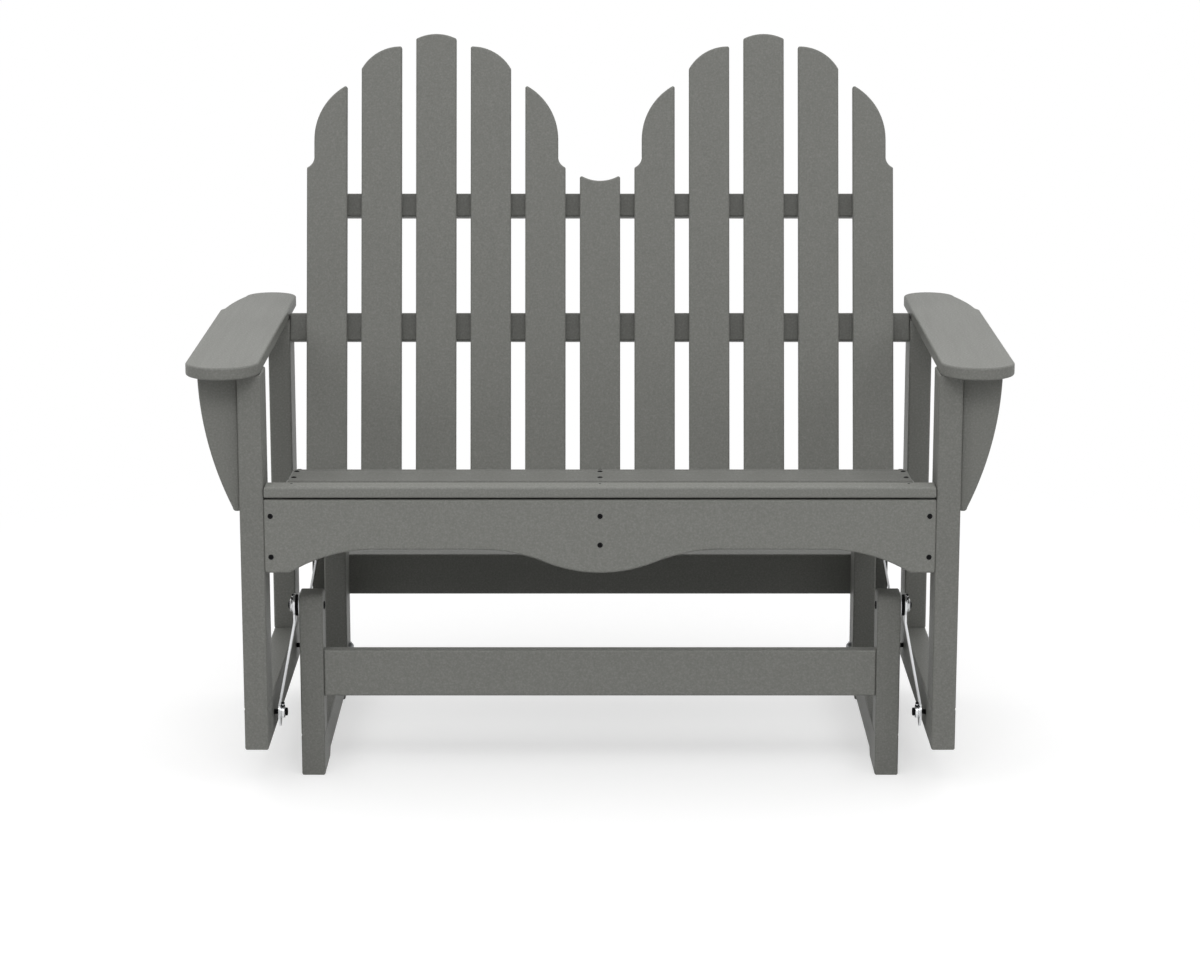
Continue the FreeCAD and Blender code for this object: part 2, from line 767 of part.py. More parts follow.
def back_slat_top(number):
    """The upper corners of a back slat, from its outer edge to its inner one.

    The number counts from the shared middle slat outwards; 3 is the middle of a fan.
    """
    half = size["back_slat_width"] / 2
    if number == 0:
        hollow = (half * half + size["dip_deep"] * size["dip_deep"]) / (2 * size["dip_deep"])
        return [(half, size["dip_edge"]), (-half, size["dip_edge"], -hollow)]
    if number == 3:
        crown = (half * half + size["fan_crown"] * size["fan_crown"]) / (2 * size["fan_crown"])
        return [(half, size["fan_edge"]), (-half, size["fan_edge"], crown)]
    if number in (2, 4):
        return [
            (half, size["fan_second_low"]),
            (-half, size["fan_second_high"], size["fan_second_radius"]),
        ]
    neck = half - size["shoulder_in"]
    radius = size["fan_side_radius"]
    reach = radius - neck - half
    inner_top = size["flank_top"] + root(radius * radius - reach * reach)
    return [
        (half, size["shoulder_low"]),
        (neck, size["shoulder_high"], -size["shoulder_radius"]),
        (neck, size["flank_top"]),
        (-half, inner_top, radius),
    ]


def make_back_slats():
    """Eleven leaning slats, their tops cut to two fans that share the middle slat."""
    half = size["back_slat_width"] / 2
    foot = -size["back_foot"]
    for index in range(-5, 6):
        number = abs(index)
        side = -1 if index < 0 else 1
        turned = side if number > 3 else -side
        outline = [(-half, foot), (half, foot)] + back_slat_top(number)
        if turned < 0:
            outline = turned_over(outline)
        body = face_board(
            f"back_slat_{index + 6}",
            back_pitch * index,
            size["back_depth"],
            size["back_datum"],
            size["slat_thick"],
            outline,
            lean=size["back_tilt"],
        )
        soften(body, corners=True)


def turned_over(outline):
    """An outline seen from behind, its corners put back in the anticlockwise order."""
    corners = [tuple(as_size(part) for part in corner) for corner in outline]
    flipped = []
    for number in range(len(corners) - 1, -1, -1):
        following = corners[(number + 1) % len(corners)]
        spot = (-corners[number][0], corners[number][1])
        flipped.append(spot + following[2:])
    return flipped


def make_rails():
    """Two rails behind the leaning slats, and a bevelled one that stands on the stringers."""
    upper_half = back_pitch * 5 + size["back_slat_width"] / 2 - size["upper_rail_short"]
    rails = (
        ("upper_back_rail", size["upper_rail"], size["rail_high"], upper_half),
        ("lower_back_rail", -size["lower_rail"], size["lower_rail_high"], leg_inner),
    )
    lean = size["back_tilt"]
    for name, low, high, half in rails:
        y = size["back_depth"] + low * sine(lean) + size["slat_thick"] * cosine(lean)
        z = size["back_datum"] + low * cosine(lean) - size["slat_thick"] * sine(lean)
        outline = rectangle(-half, 0, half, high)
        soften(face_board(name, 0, y, z, size["lumber"], outline, lean=lean))
    slope = tangent(lean)
    rear_face = size["back_depth"] + size["slat_thick"] / cosine(lean)
    low = size["stringer_rear"]
    high = low + size["foot_rail_high"]
    foot_front = rear_face + (low - size["back_datum"]) * slope
    foot_back = foot_front + size["foot_rail_deep"]
    outline = [
        (foot_front, low),
        (foot_back, low),
        (foot_back, high),
        (rear_face + (high - size["back_datum"]) * slope, high),
    ]
    body = side_board(
        "bottom_back_rail", 1, -stringer_out, stringer_out * 2, 0, 0, outline
    )
    soften(body)


def make_base_runner(side, name):
    """A base runner with a raised underside between its two feet."""
    long = rear_pivot + size["base_tail"] - size["base_front"]
    foot = size["foot_long"]
    high = size["runner_high"]
    raised = size["foot_high"]
    outline = [
        (0, 0),
        (foot, 0),
        (foot + raised, raised),
        (long - foot - raised, raised),
        (long - foot, 0),
        (long, 0),
        (long, high),
        (0, high),
    ]
    inner = base_half - size["lumber"]
    soften(side_board(f"base_runner_{name}", side, inner, size["lumber"], size["base_front"], 0, outline))


def make_post(side, name, place_name, pivot, deep, inset):
    """A post with rounded top corners, a pivot bolt's hole, and a recess for the nut inside."""
    curve = size["post_round"]
    high = post_top - size["runner_high"]
    hole = (deep / 2, high - size["post_above_pivot"])
    outline = [
        (0, 0),
        (deep, 0),
        (deep, high - curve),
        (deep - curve, high, curve),
        (curve, high),
        (0, high - curve, curve),
    ]
    inner = base_half - size["lumber"] - inset
    body = side_board(
        f"{place_name}_post_{name}",
        side,
        inner,
        size["lumber"],
        pivot - deep / 2,
        size["runner_high"],
        outline,
        [(*hole, bolt_hole)],
    )
    soften(body)
    inner_face = as_size(0) if side > 0 else size["lumber"]
    sketch = new_sketch(body, "YZ_Plane", holes=[(*hole, size["nut_room"])], offset=inner_face)
    cut_in(body, sketch, size["recess_deep"], reverse=side > 0)


def make_stretchers():
    """The front stretcher between the front posts, and the rear one across the rear posts' backs."""
    front_half = base_half - size["lumber"]
    rear_half = base_half + size["rear_stretcher_out"]
    front_face = size["base_front"] + size["front_stretcher_set"]
    rear_face = rear_pivot + size["rear_post_deep"] / 2
    for place_name, half, y in (("front", front_half, front_face), ("rear", rear_half, rear_face)):
        part = f"{place_name}_stretcher"
        outline = rectangle(-half, 0, half, size[f"{part}_high"])
        soften(face_board(part, 0, y, size[f"{part}_low"], size[f"{part}_thick"], outline))


# Distances from the middle in the stacks at the pivots
upper_strap_in = base_half + size["washer_thick"] + size["upper_spacer"] + size["play"]
upper_strap_out = upper_strap_in + size["strap_thick"]
upper_head_in = upper_strap_out + size["upper_housing"] + size["play"]
lower_strap_out = leg_inner - size["lower_spacer"] - size["play"]
lower_strap_in = lower_strap_out - size["strap_thick"]
lower_head_out = lower_strap_in - size["lower_housing"] - size["play"]

PIVOTS = (("front", front_pivot, as_size(0)), ("rear", rear_pivot, size["rear_post_inset"]))


def make_hanger_strap(side, name, place_name, pivot):
    """A flat strap, joggled outwards on its way down, with a round eye at each end."""
    eye = size["eye_radius"]
    long = size["link_long"]
    thick = size["strap_thick"]
    shift = lower_strap_in - upper_strap_in
    bend_high = -size["joggle_top"]
    bend_low = size["joggle_foot"] - long
    profile = [
        (shift, -long - eye),
        (shift + thick, -long - eye),
        (shift + thick, bend_low),
        (thick, bend_high),
        (thick, eye),
        (0, eye),
        (0, bend_high),
        (shift, bend_low),
    ]
    body = face_board(
        f"hanger_strap_{place_name}_{name}",
        upper_strap_in * side,
        pivot - eye,
        upper_pivot,
        eye * 2,
        mirrored(profile, side),
    )
    half = size["strap_width"] / 2
    drop = root(eye * eye - half * half)
    edge = eye * 2
    outline = [
        (eye + half, -drop),
        (eye, eye, eye),
        (eye - half, -drop, eye),
        (eye - half, drop - long),
        (eye, -long - eye, eye),
        (eye + half, drop - long, eye),
    ]
    sketch = new_sketch(body, "YZ_Plane", outline, [(eye, 0, bore_radius), (eye, -long, bore_radius)])
    draw_outline(sketch, rectangle(-edge, -long - edge, edge * 2, edge))
    cut_in(body, sketch, reverse=side > 0)


def make_link_bearings(side, name, place_name, pivot):
    """The bearing housings of one link, one at each end."""
    upper = ring(
        side, upper_strap_out, size["upper_housing"], size["housing_radius"], bore_radius, pivot, upper_pivot
    )
    lower = ring(
        side,
        lower_strap_in - size["lower_housing"],
        size["lower_housing"],
        size["housing_radius"],
        bore_radius,
        pivot,
        lower_pivot,
    )
    group(f"link_bearings_{place_name}_{name}", [upper, lower])


def make_pivot_hardware():
    """Bolts, nuts, washers and spacers at the eight pivots."""
    parts = {name: [] for name in ("bolts", "nuts", "spacers")}
    low = {name: [] for name in ("bolts", "nuts", "spacers")}
    nut_gap = size["recess_deep"] - size["nut_thick"]
    for side, name in SIDES:
        for place_name, y, inset in PIVOTS:
            post_out = base_half - inset
            post_in = post_out - size["lumber"]
            parts["bolts"].append(
                bolt(
                    side, upper_head_in, size["upper_head_radius"], size["upper_head_high"],
                    post_in + nut_gap, y, upper_pivot, False,
                )
            )
            parts["nuts"].append(hex_nut(side, post_in + nut_gap, y, upper_pivot))
            spacer_start = post_out + size["washer_thick"]
            parts["spacers"].append(
                ring(
                    side, post_out, size["washer_thick"], size["spacer_radius"],
                    bore_radius, y, upper_pivot,
                )
            )
            parts["spacers"].append(
                ring(
                    side, spacer_start, size["upper_spacer"] + inset, size["spacer_radius"],
                    bore_radius, y, upper_pivot,
                )
            )
            low["bolts"].append(
                bolt(
                    side, lower_head_out, size["lower_head_radius"], size["lower_head_high"],
                    size["half_width"] - nut_gap, y, lower_pivot, True,
                )
            )
            low["nuts"].append(
                hex_nut(side, size["half_width"] - size["recess_deep"], y, lower_pivot)
            )
            low["spacers"].append(
                ring(
                    side, leg_inner - size["lower_spacer"], size["lower_spacer"],
                    size["spacer_radius"], bore_radius, y, lower_pivot,
                )
            )
    for kind, members in parts.items():
        group(f"upper_pivot_{kind}", members)
    for kind, members in low.items():
        group(f"lower_pivot_{kind}", members)


def make_cap_nuts():
    """Domed nuts on the inner faces of the rear posts."""
    members = []
    face = base_half - size["lumber"] - size["rear_post_inset"]
    for side, name in SIDES:
        dome = doc.addObject("Part::Sphere", "dome")
        dome.Radius = size["cap_nut_radius"].value
        dome.setExpression("Radius", size["cap_nut_radius"].text)
        dome.Angle1 = 0
        around_x(dome, face, rear_pivot, size["cap_nut_height"], side)
        dome.Placement.Rotation = FreeCAD.Rotation(FreeCAD.Vector(0, 1, 0), -90 * side)
        members.append(dome)
    group("rear_post_cap_nuts", members)


for side, name in SIDES:
    make_seat_runner(side, name)
    make_legs(side, name)
    make_arm(side, name)
    make_arm_bracket(side, name)
    make_base_runner(side, name)
    make_post(side, name, "front", front_pivot, size["front_post_deep"], as_size(0))
    make_post(side, name, "rear", rear_pivot, size["rear_post_deep"], size["rear_post_inset"])
    for place_name, pivot, inset in PIVOTS:
        make_hanger_strap(side, name, place_name, pivot)
        make_link_bearings(side, name, place_name, pivot)
make_apron()
make_apron_screws()
make_seat_slats()
make_stringers()
make_cleats()
make_back_slats()
make_rails()
make_stretchers()
make_pivot_hardware()
make_cap_nuts()

doc.recompute()
failed = [item.Label for item in doc.Objects if "Invalid" in item.State or "Error" in item.State]
bad = [node.Label for node in nodes if node.Shape.isNull() or not node.Shape.isValid()]
if failed or bad:
    raise ValueError(f"failed objects: {failed}; bad shapes: {bad}")

os.makedirs("parts", exist_ok=True)
for node in nodes:
    node.Shape.exportStep(f"parts/{node.Label}.step")
    print(node.Label, len(node.Shape.Solids), round(node.Shape.Volume / 1000, 1))
print(len(nodes), "pieces")
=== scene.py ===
# %% [markdown]
# # A two-seat glider bench in grey plastic lumber
#
# The construction model already holds every plank, strap and bolt at its real size. What is left
# for this file is what the eye sees: the finish of the lumber, steel and black hardware, and the
# small turned parts, such as screw heads and bearing housings, in more detail than a construction
# model needs. The first cell loads the model as a fixed frame that places everything else.

# %% Load the construction model
import json
import math

import bmesh
import bpy
import numpy as np
from mathutils import Matrix, Vector


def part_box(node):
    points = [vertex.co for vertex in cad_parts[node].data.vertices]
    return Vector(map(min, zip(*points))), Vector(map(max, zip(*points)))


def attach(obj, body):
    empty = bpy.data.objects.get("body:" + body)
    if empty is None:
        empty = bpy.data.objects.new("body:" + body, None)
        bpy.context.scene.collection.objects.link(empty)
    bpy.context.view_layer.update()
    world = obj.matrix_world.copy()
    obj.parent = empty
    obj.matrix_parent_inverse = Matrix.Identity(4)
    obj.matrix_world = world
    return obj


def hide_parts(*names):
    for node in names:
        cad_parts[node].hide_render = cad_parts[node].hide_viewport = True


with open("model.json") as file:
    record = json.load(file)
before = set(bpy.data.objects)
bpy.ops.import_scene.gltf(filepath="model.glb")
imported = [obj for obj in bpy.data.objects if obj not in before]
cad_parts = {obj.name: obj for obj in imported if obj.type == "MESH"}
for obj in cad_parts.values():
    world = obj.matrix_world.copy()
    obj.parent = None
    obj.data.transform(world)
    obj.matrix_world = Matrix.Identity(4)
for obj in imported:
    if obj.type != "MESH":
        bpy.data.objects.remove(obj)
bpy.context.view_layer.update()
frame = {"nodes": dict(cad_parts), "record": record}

MM = 0.001

# %% [markdown]
# ## The camera
#
# A product photograph like this one is taken from a few metres away with a long lens, so that the
# near and far legs keep almost the same size. The camera stands in front of the bench's middle, a
# little above the top of its back, and looks slightly down. Its place and lens are measured
# values; the bench itself is never moved to suit the picture.

# %% Camera
CAMERA_BACK = 4.983
CAMERA_HEIGHT = 1.506
CAMERA_PITCH = 77.5
CAMERA_LENS = 99.48
SENSOR_WIDTH = 36.0

camera_data = bpy.data.cameras.new("camera")
camera_data.lens = CAMERA_LENS
camera_data.sensor_width = SENSOR_WIDTH
camera_data.sensor_fit = "HORIZONTAL"
camera_data.clip_start, camera_data.clip_end = 0.1, 100.0
camera = bpy.data.objects.new("camera", camera_data)
camera.location = (0.0, -CAMERA_BACK, CAMERA_HEIGHT)
camera.rotation_euler = (math.radians(CAMERA_PITCH), 0.0, 0.0)
bpy.context.scene.collection.objects.link(camera)
bpy.context.scene.camera = camera
print("camera", tuple(camera.location), "lens", CAMERA_LENS)

# %% [markdown]
# ## Writing shaders as sums
#
# A material is a graph of nodes. Drawn by hand it is easy to lose the thought behind it, so here a
# small class wraps one output socket, and adding or multiplying two of them adds the Math node
# that does it. Colours are mixed and vectors are scaled by their own nodes, because a Math node
# would turn a colour grey.

# %% A socket that can be added and multiplied
class Wire:
    """One output socket of a material's node tree, with arithmetic."""

    def __init__(self, tree, socket):
        self.tree = tree
        self.socket = socket

    def _math(self, operation, first, second):
        made = self.tree.nodes.new("ShaderNodeMath")
        made.operation = operation
        for socket, value in zip(made.inputs, (first, second)):
            connect(self.tree, socket, value)
        return Wire(self.tree, made.outputs[0])

    def __add__(self, other):
        return self._math("ADD", self, other)

    def __sub__(self, other):
        return self._math("SUBTRACT", self, other)

    def __mul__(self, other):
        return self._math("MULTIPLY", self, other)

    def __radd__(self, other):
        return self._math("ADD", other, self)

    def __rsub__(self, other):
        return self._math("SUBTRACT", other, self)


def connect(tree, socket, value):
    """Links a wire to a socket, or sets the socket's own value."""
    if isinstance(value, Wire):
        tree.links.new(value.socket, socket)
    elif isinstance(value, tuple) and len(value) == 3 and socket.type == "RGBA":
        socket.default_value = (*value, 1.0)
    else:
        socket.default_value = value


def add_node(tree, kind, settings=None, **values):
    """Adds a node and returns a function that gives each of its outputs as a wire.

    A socket is picked by its identifier, such as A_Color, or by its name with underscores for
    the spaces. Its value is a number, a tuple or a wire.
    """
    made = tree.nodes.new(kind)
    for name, value in (settings or {}).items():
        setattr(made, name, value)
    for name, value in values.items():
        label = name.replace("_", " ")
        socket = next(one for one in made.inputs if one.identifier == name or one.name == label)
        connect(tree, socket, value)
    return lambda output=0: Wire(tree, made.outputs[output])


def object_place(tree):
    """The point's place in its object, which stands at the origin, so it is a place in metres."""
    return add_node(tree, "ShaderNodeTexCoord")("Object")


def noise(tree, place, scale, detail, **more):
    """A soft random field between 0 and 1."""
    return add_node(tree, "ShaderNodeTexNoise", Vector=place, Scale=scale, Detail=detail, **more)()


def ramp(tree, value, start, end, kind="LINEAR"):
    """Rises from 0 where the value is at start to 1 where it is at end."""
    settings = {"interpolation_type": kind}
    return add_node(
        tree, "ShaderNodeMapRange", settings, Value=value, From_Min=start, From_Max=end
    )()


def new_material(name):
    """An empty material with one Principled shader, and its node tree."""
    material = bpy.data.materials.new(name)
    material.use_nodes = True
    tree = material.node_tree
    tree.nodes.clear()
    shader = tree.nodes.new("ShaderNodeBsdfPrincipled")
    output = tree.nodes.new("ShaderNodeOutputMaterial")
    tree.links.new(shader.outputs[0], output.inputs[0])
    return material, tree, shader


def set_inputs(tree, shader, **values):
    """Sets or links a shader's input sockets by name."""
    for name, value in values.items():
        connect(tree, shader.inputs[name.replace("_", " ")], value)


def mix_colour(tree, factor, first, second):
    """The first colour where the factor is 0 and the second where it is 1."""
    mixed = add_node(
        tree, "ShaderNodeMix", {"data_type": "RGBA"},
        Factor_Float=factor, A_Color=first, B_Color=second,
    )
    colour_output = 2
    return mixed(colour_output)


print("shader helpers ready")

# %% [markdown]
# ## Plastic lumber
#
# The planks are extruded from recycled polyethylene with the colour all the way through. The real
# surface is matte but not dead: light that grazes a seat slat gives back a soft, blurred image of
# the bright background. Close up it is finely pebbled, like orange peel under a millimetre across,
# with faint lighter and darker flecks where the melt did not mix, and very soft streaks along the
# plank. A photograph of a plank would show all that at one scale only, so it is built from noise:
# pebbles and dimples in the bump, flecks and streaks in the colour, and the same flecks and
# streaks in the roughness. The back rails and the seat boards behind the nose get a slightly
# darker mix, which is painted shade, and the boards at the very front a slightly lighter one,
# which is painted light, because this studio's light would otherwise leave them some grey levels
# away from the photograph.

# %% Lumber
LUMBER_GREY = (0.225, 0.227, 0.211)
LUMBER_SHADE = (0.198, 0.200, 0.185)
LUMBER_LIGHT_FLECK = (0.325, 0.327, 0.308)
LUMBER_DARK_FLECK = (0.150, 0.152, 0.140)
LUMBER_ROUGH = 0.48
LUMBER_SHINE = 0.14

FLECK_SCALE, FLECK_SHARE = 360.0, 0.3
LIGHT_FROM, LIGHT_TO = 0.52, 0.68
DARK_FROM, DARK_TO = 0.48, 0.32
STREAK_LONG, STREAK_FINE, STREAK_SHARE = 6.0, 90.0, 0.16
STREAK_FROM, STREAK_TO = 0.3, 0.7
CLOUD_SCALE, CLOUD_SHARE = 9.0, 0.12
PEBBLE_SCALE, PEBBLE_SHARE = 900.0, 0.6
DIMPLE_SCALE, DIMPLE_SHARE = 0.45 * PEBBLE_SCALE, 0.4
PEBBLE_HEIGHT, PEBBLE_STRENGTH = 0.10 * MM, 0.55
STREAK_DULLS, FLECK_POLISHES = 0.05, 0.06


def make_lumber(name, stretch, tone=1.0):
    """Grey plastic lumber whose soft streaks run along one axis.

    stretch gives the streaks' scale on X, Y and Z, and tone multiplies every colour: below 1 it is
    painted shade, above 1 painted light.
    """
    grey, shade, light_fleck, dark_fleck = (
        tuple(part * tone for part in colour)
        for colour in (LUMBER_GREY, LUMBER_SHADE, LUMBER_LIGHT_FLECK, LUMBER_DARK_FLECK)
    )
    material, tree, shader = new_material(name)
    place = object_place(tree)
    along = add_node(tree, "ShaderNodeMapping", Vector=place, Scale=stretch)()
    streak = noise(tree, along, 1.0, 3.0, Roughness=0.55)
    fleck = noise(tree, place, FLECK_SCALE, 2.0)
    cloud = noise(tree, place, CLOUD_SCALE, 2.0)
    pebble = noise(tree, place, PEBBLE_SCALE, 1.0)
    dimple = add_node(
        tree, "ShaderNodeTexVoronoi", {"feature": "SMOOTH_F1"}, Vector=place, Scale=DIMPLE_SCALE
    )("Distance")

    light = ramp(tree, fleck, LIGHT_FROM, LIGHT_TO)
    dark = ramp(tree, fleck, DARK_FROM, DARK_TO)
    soft = ramp(tree, streak, STREAK_FROM, STREAK_TO)
    colour = mix_colour(tree, soft * STREAK_SHARE + cloud * CLOUD_SHARE, grey, shade)
    colour = mix_colour(tree, light * FLECK_SHARE, colour, light_fleck)
    colour = mix_colour(tree, dark * FLECK_SHARE, colour, dark_fleck)
    bump = add_node(
        tree, "ShaderNodeBump", Height=pebble * PEBBLE_SHARE + dimple * DIMPLE_SHARE,
        Distance=PEBBLE_HEIGHT, Strength=PEBBLE_STRENGTH,
    )()
    set_inputs(
        tree, shader, Base_Color=colour, Normal=bump, Specular_IOR_Level=LUMBER_SHINE,
        Roughness=LUMBER_ROUGH + soft * STREAK_DULLS - light * FLECK_POLISHES,
    )
    return material


print("lumber can be made")

# %% [markdown]
# ## Lumber on the boards
#
# Extrusion streaks run along a plank, so each board takes the finish whose streaks follow its
# longest side. Three groups of boards, all of them long in X, take a copy of it in another
# brightness: the back rails and the seat boards behind the nose a darker one, which is painted
# shade, and the front boards a lighter one, which is painted light.

# %% Lumber on the boards
STREAKS_ALONG = {
    "x": (STREAK_LONG, STREAK_FINE, STREAK_FINE),
    "y": (STREAK_FINE, STREAK_LONG, STREAK_FINE),
    "z": (STREAK_FINE, STREAK_FINE, STREAK_LONG),
}
# Painted light and shade: 0.78 and 0.81 darken the back rails and the inner seat boards as painted
# shade, and 1.1 lightens the front boards as painted light.
PAINTED_LIGHT_AND_SHADE_BOARDS = {  # a group of boards: its tone, and the boards
    "rails": (0.78, ("lower_back_rail", "upper_back_rail")),
    "seat": (0.81, ("seat_slat_2", "seat_slat_3", "seat_slat_4", "seat_slat_5")),
    "front": (1.1, ("seat_slat_1", "front_apron", "front_stretcher")),
}

LUMBER = {
    axis: make_lumber(f"lumber_along_{axis}", stretch) for axis, stretch in STREAKS_ALONG.items()
}
painted_light_and_shade_lumber = {}
# Each group gets its own copy of the lumber with its painted shade or painted light in the
# colours.
for group, (tone, boards) in PAINTED_LIGHT_AND_SHADE_BOARDS.items():
    painted_light_and_shade_lumber |= dict.fromkeys(boards, make_lumber(f"lumber_{group}", STREAKS_ALONG["x"], tone))


def nodes_by_slot():
    """Each CAD node's name with the name of its material slot."""
    return [(part["node"], part["material_slot"]) for part in frame["record"]["subparts"]]


def dress(node_name, material):
    """Gives a CAD node one material."""
    slots = frame["nodes"][node_name].data.materials
    slots.clear()
    slots.append(material)


for node_name, slot in nodes_by_slot():
    if slot == "lumber":
        low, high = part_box(node_name)
        longest = "xyz"[int(np.argmax(high - low))]
        dress(node_name, painted_light_and_shade_lumber.get(node_name, LUMBER[longest]))
print("lumber finish:", len(painted_light_and_shade_lumber), "boards with painted light and shade")

# %% [markdown]
# ## Steel, black coating and zinc
#
# The hanger straps are flat bar, brushed along their length and left bright. Bolts, screws and
# spacers are coated black, with a faint sheen that shows their round edges. The domed nuts on the
# rear posts are dull zinc. Brushing is drawn by noise stretched along the strap: it feeds the
# roughness and a very low bump. The colour only varies with faint smudges, because brushed steel
# is one colour.

# %% Metals
STEEL_COLOUR = (0.80, 0.81, 0.82)
BLACK_COLOUR = (0.012, 0.012, 0.013)
ZINC_COLOUR = (0.36, 0.37, 0.38)
STRAP_BRUSH = (40.0, 900.0, 12.0)
SMUDGE_SCALE, SMUDGE_DARKENS, SMUDGE_SHARE = 30.0, 0.8, 0.5
SCRATCH_HEIGHT, SCRATCH_STRENGTH = 0.02 * MM, 0.4


def make_metal(name, colour, rough, metallic, brush, grain, shine=0.5):
    """A metal whose roughness follows noise that is stretched along the brushing.

    brush gives the noise's scale on X, Y and Z, and grain is how far the roughness varies.
    """
    material, tree, shader = new_material(name)
    place = object_place(tree)
    along = add_node(tree, "ShaderNodeMapping", Vector=place, Scale=brush)()
    scratch = noise(tree, along, 1.0, 4.0, Roughness=0.6)
    smudge = noise(tree, place, SMUDGE_SCALE, 2.0)
    shade = tuple(part * SMUDGE_DARKENS for part in colour)
    bump = add_node(
        tree, "ShaderNodeBump", Height=scratch, Distance=SCRATCH_HEIGHT, Strength=SCRATCH_STRENGTH
    )()
    set_inputs(
        tree, shader, Base_Color=mix_colour(tree, smudge * SMUDGE_SHARE, colour, shade),
        Roughness=rough + (scratch - 0.5) * grain + (smudge - 0.5) * grain,
        Metallic=metallic, Specular_IOR_Level=shine, Normal=bump,
    )
    return material


STEEL = make_metal("brushed_steel", STEEL_COLOUR, 0.32, 1.0, STRAP_BRUSH, 0.25)
BLACK = make_metal("black_coating", BLACK_COLOUR, 0.62, 0.0, (600.0,) * 3, 0.2, shine=0.06)
ZINC = make_metal("dull_zinc", ZINC_COLOUR, 0.45, 0.9, (300.0,) * 3, 0.2)
METAL_OF_SLOT = {"link_steel": STEEL, "black_hardware": BLACK, "grey_caps": ZINC}
for node_name, slot in nodes_by_slot():
    if slot in METAL_OF_SLOT:
        dress(node_name, METAL_OF_SLOT[slot])
print("metals:", [material.name for material in METAL_OF_SLOT.values()])

# %% [markdown]
# ## Turned parts from one function
#
# Bolts, screws, washers, spacers and bearings are turned or forged round an axis, so each one is a
# profile swept round a line. Drawing each as its own solid would hide that, and a plain cylinder
# would lose the rounded rims that catch the light. Here one function takes a profile as rows of
# radius and height, and sweeps it round many axes at once with arrays. A third number in a row
# turns its circle into a hexagon, which gives nuts and the sockets of bolt heads.

# %% Surfaces of revolution
AROUND, AROUND_SMALL = 48, 24
UPRIGHT = 0.9
MERGE_DISTANCE = 1e-6
SHARP_ANGLE = math.radians(32)
BEND_ROWS = 4
SLOT_OF = {metal: slot for slot, metal in METAL_OF_SLOT.items()} | {LUMBER["z"]: "lumber"}


def side_directions(axes):
    """Unit axes, and for each two unit directions square to it and to each other."""
    axes = np.asarray(axes, float)
    axes = axes / np.linalg.norm(axes, axis=1, keepdims=True)
    upright = np.abs(axes[:, 2:]) > UPRIGHT
    helper = np.where(upright, (0.0, 1.0, 0.0), (0.0, 0.0, 1.0))
    side = np.cross(helper, axes)
    side /= np.linalg.norm(side, axis=1, keepdims=True)
    return axes, side, np.cross(axes, side)


def turned(name, places, axes, profile, material, body, stands_for=(), steps=AROUND, ring=False):
    """Equal turned parts, one for each place and axis, as one mesh that rides on a body.

    profile holds rows of (radius, height, hexagon) in millimetres. At angle t a row's point is
    place + axis * height + (side * cos t + other side * sin t) * radius * shape(t). The shape is 1
    for a round row. For a hexagon it is cos 30 / cos(t mod 60 - 30), the distance to its flats. A
    ring joins its last row to its first; a solid starts and ends on its axis.
    """
    rows = np.array(profile, float)
    turn = np.arange(steps) * (2 * np.pi / steps)
    sixth = np.pi / 3
    flats = np.cos(sixth / 2) / np.cos(np.mod(turn, sixth) - sixth / 2)
    reach = rows[:, :1] * (1 + rows[:, 2:] * (flats - 1))
    axes, side, other = side_directions(axes)
    spread = side[:, None, :] * np.cos(turn)[:, None] + other[:, None, :] * np.sin(turn)[:, None]
    centres = np.asarray(places, float)[:, None, :] + axes[:, None, :] * rows[:, 1][:, None]
    points = centres[:, :, None, :] + spread[:, None, :, :] * reach[None, :, :, None]

    count, deep = len(axes), len(rows)
    row = np.arange(deep if ring else deep - 1)
    step = np.arange(steps)
    start = np.arange(count)[:, None, None] * deep * steps
    this, next_row = row[:, None] * steps, ((row + 1) % deep)[:, None] * steps
    following = (step + 1) % steps
    corners = [this + step, this + following, next_row + following, next_row + step]
    faces = np.stack([start + corner[None] for corner in corners], axis=-1).reshape(-1, 4)

    mesh = bpy.data.meshes.new(name)
    mesh.from_pydata((points.reshape(-1, 3) * MM).tolist(), [], faces.tolist())
    close_up(mesh)
    mesh.materials.append(material)
    return place_piece(name, mesh, body, stands_for)


def close_up(mesh):
    """Merges points that meet, turns the normals outwards and sets soft and sharp edges."""
    work = bmesh.new()
    work.from_mesh(mesh)
    bmesh.ops.remove_doubles(work, verts=work.verts, dist=MERGE_DISTANCE)
    bmesh.ops.recalc_face_normals(work, faces=work.faces)
    work.to_mesh(mesh)
    work.free()
    mesh.shade_smooth()
    mesh.set_sharp_from_angle(angle=SHARP_ANGLE)


def place_piece(name, mesh, body, stands_for):
    """Links a finished mesh at the origin, hides the CAD parts it stands for, and hangs it on the
    body it rides on.
    """
    piece = bpy.data.objects.new(name, mesh)
    bpy.context.scene.collection.objects.link(piece)
    if stands_for:
        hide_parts(*stands_for)
    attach(piece, body)
    return piece


def rounded(radius, low, high, edge):
    """Profile rows of an outer wall from low to high, both rims rounded by a quarter circle."""
    bend = np.linspace(0.0, np.pi / 2, BEND_ROWS)
    flat = radius - edge
    first = [(flat + edge * math.sin(a), low + edge - edge * math.cos(a), 0) for a in bend]
    last = [(flat + edge * math.cos(a), high - edge + edge * math.sin(a), 0) for a in bend]
    return first + last


def mesh_points(mesh):
    """A mesh's points in millimetres, as one array."""
    flat = np.empty(len(mesh.vertices) * 3)
    mesh.vertices.foreach_get("co", flat)
    return flat.reshape(-1, 3) / MM


def node_points(node_name):
    """A CAD node's points in millimetres."""
    return mesh_points(frame["nodes"][node_name].data)


print("turning ready")

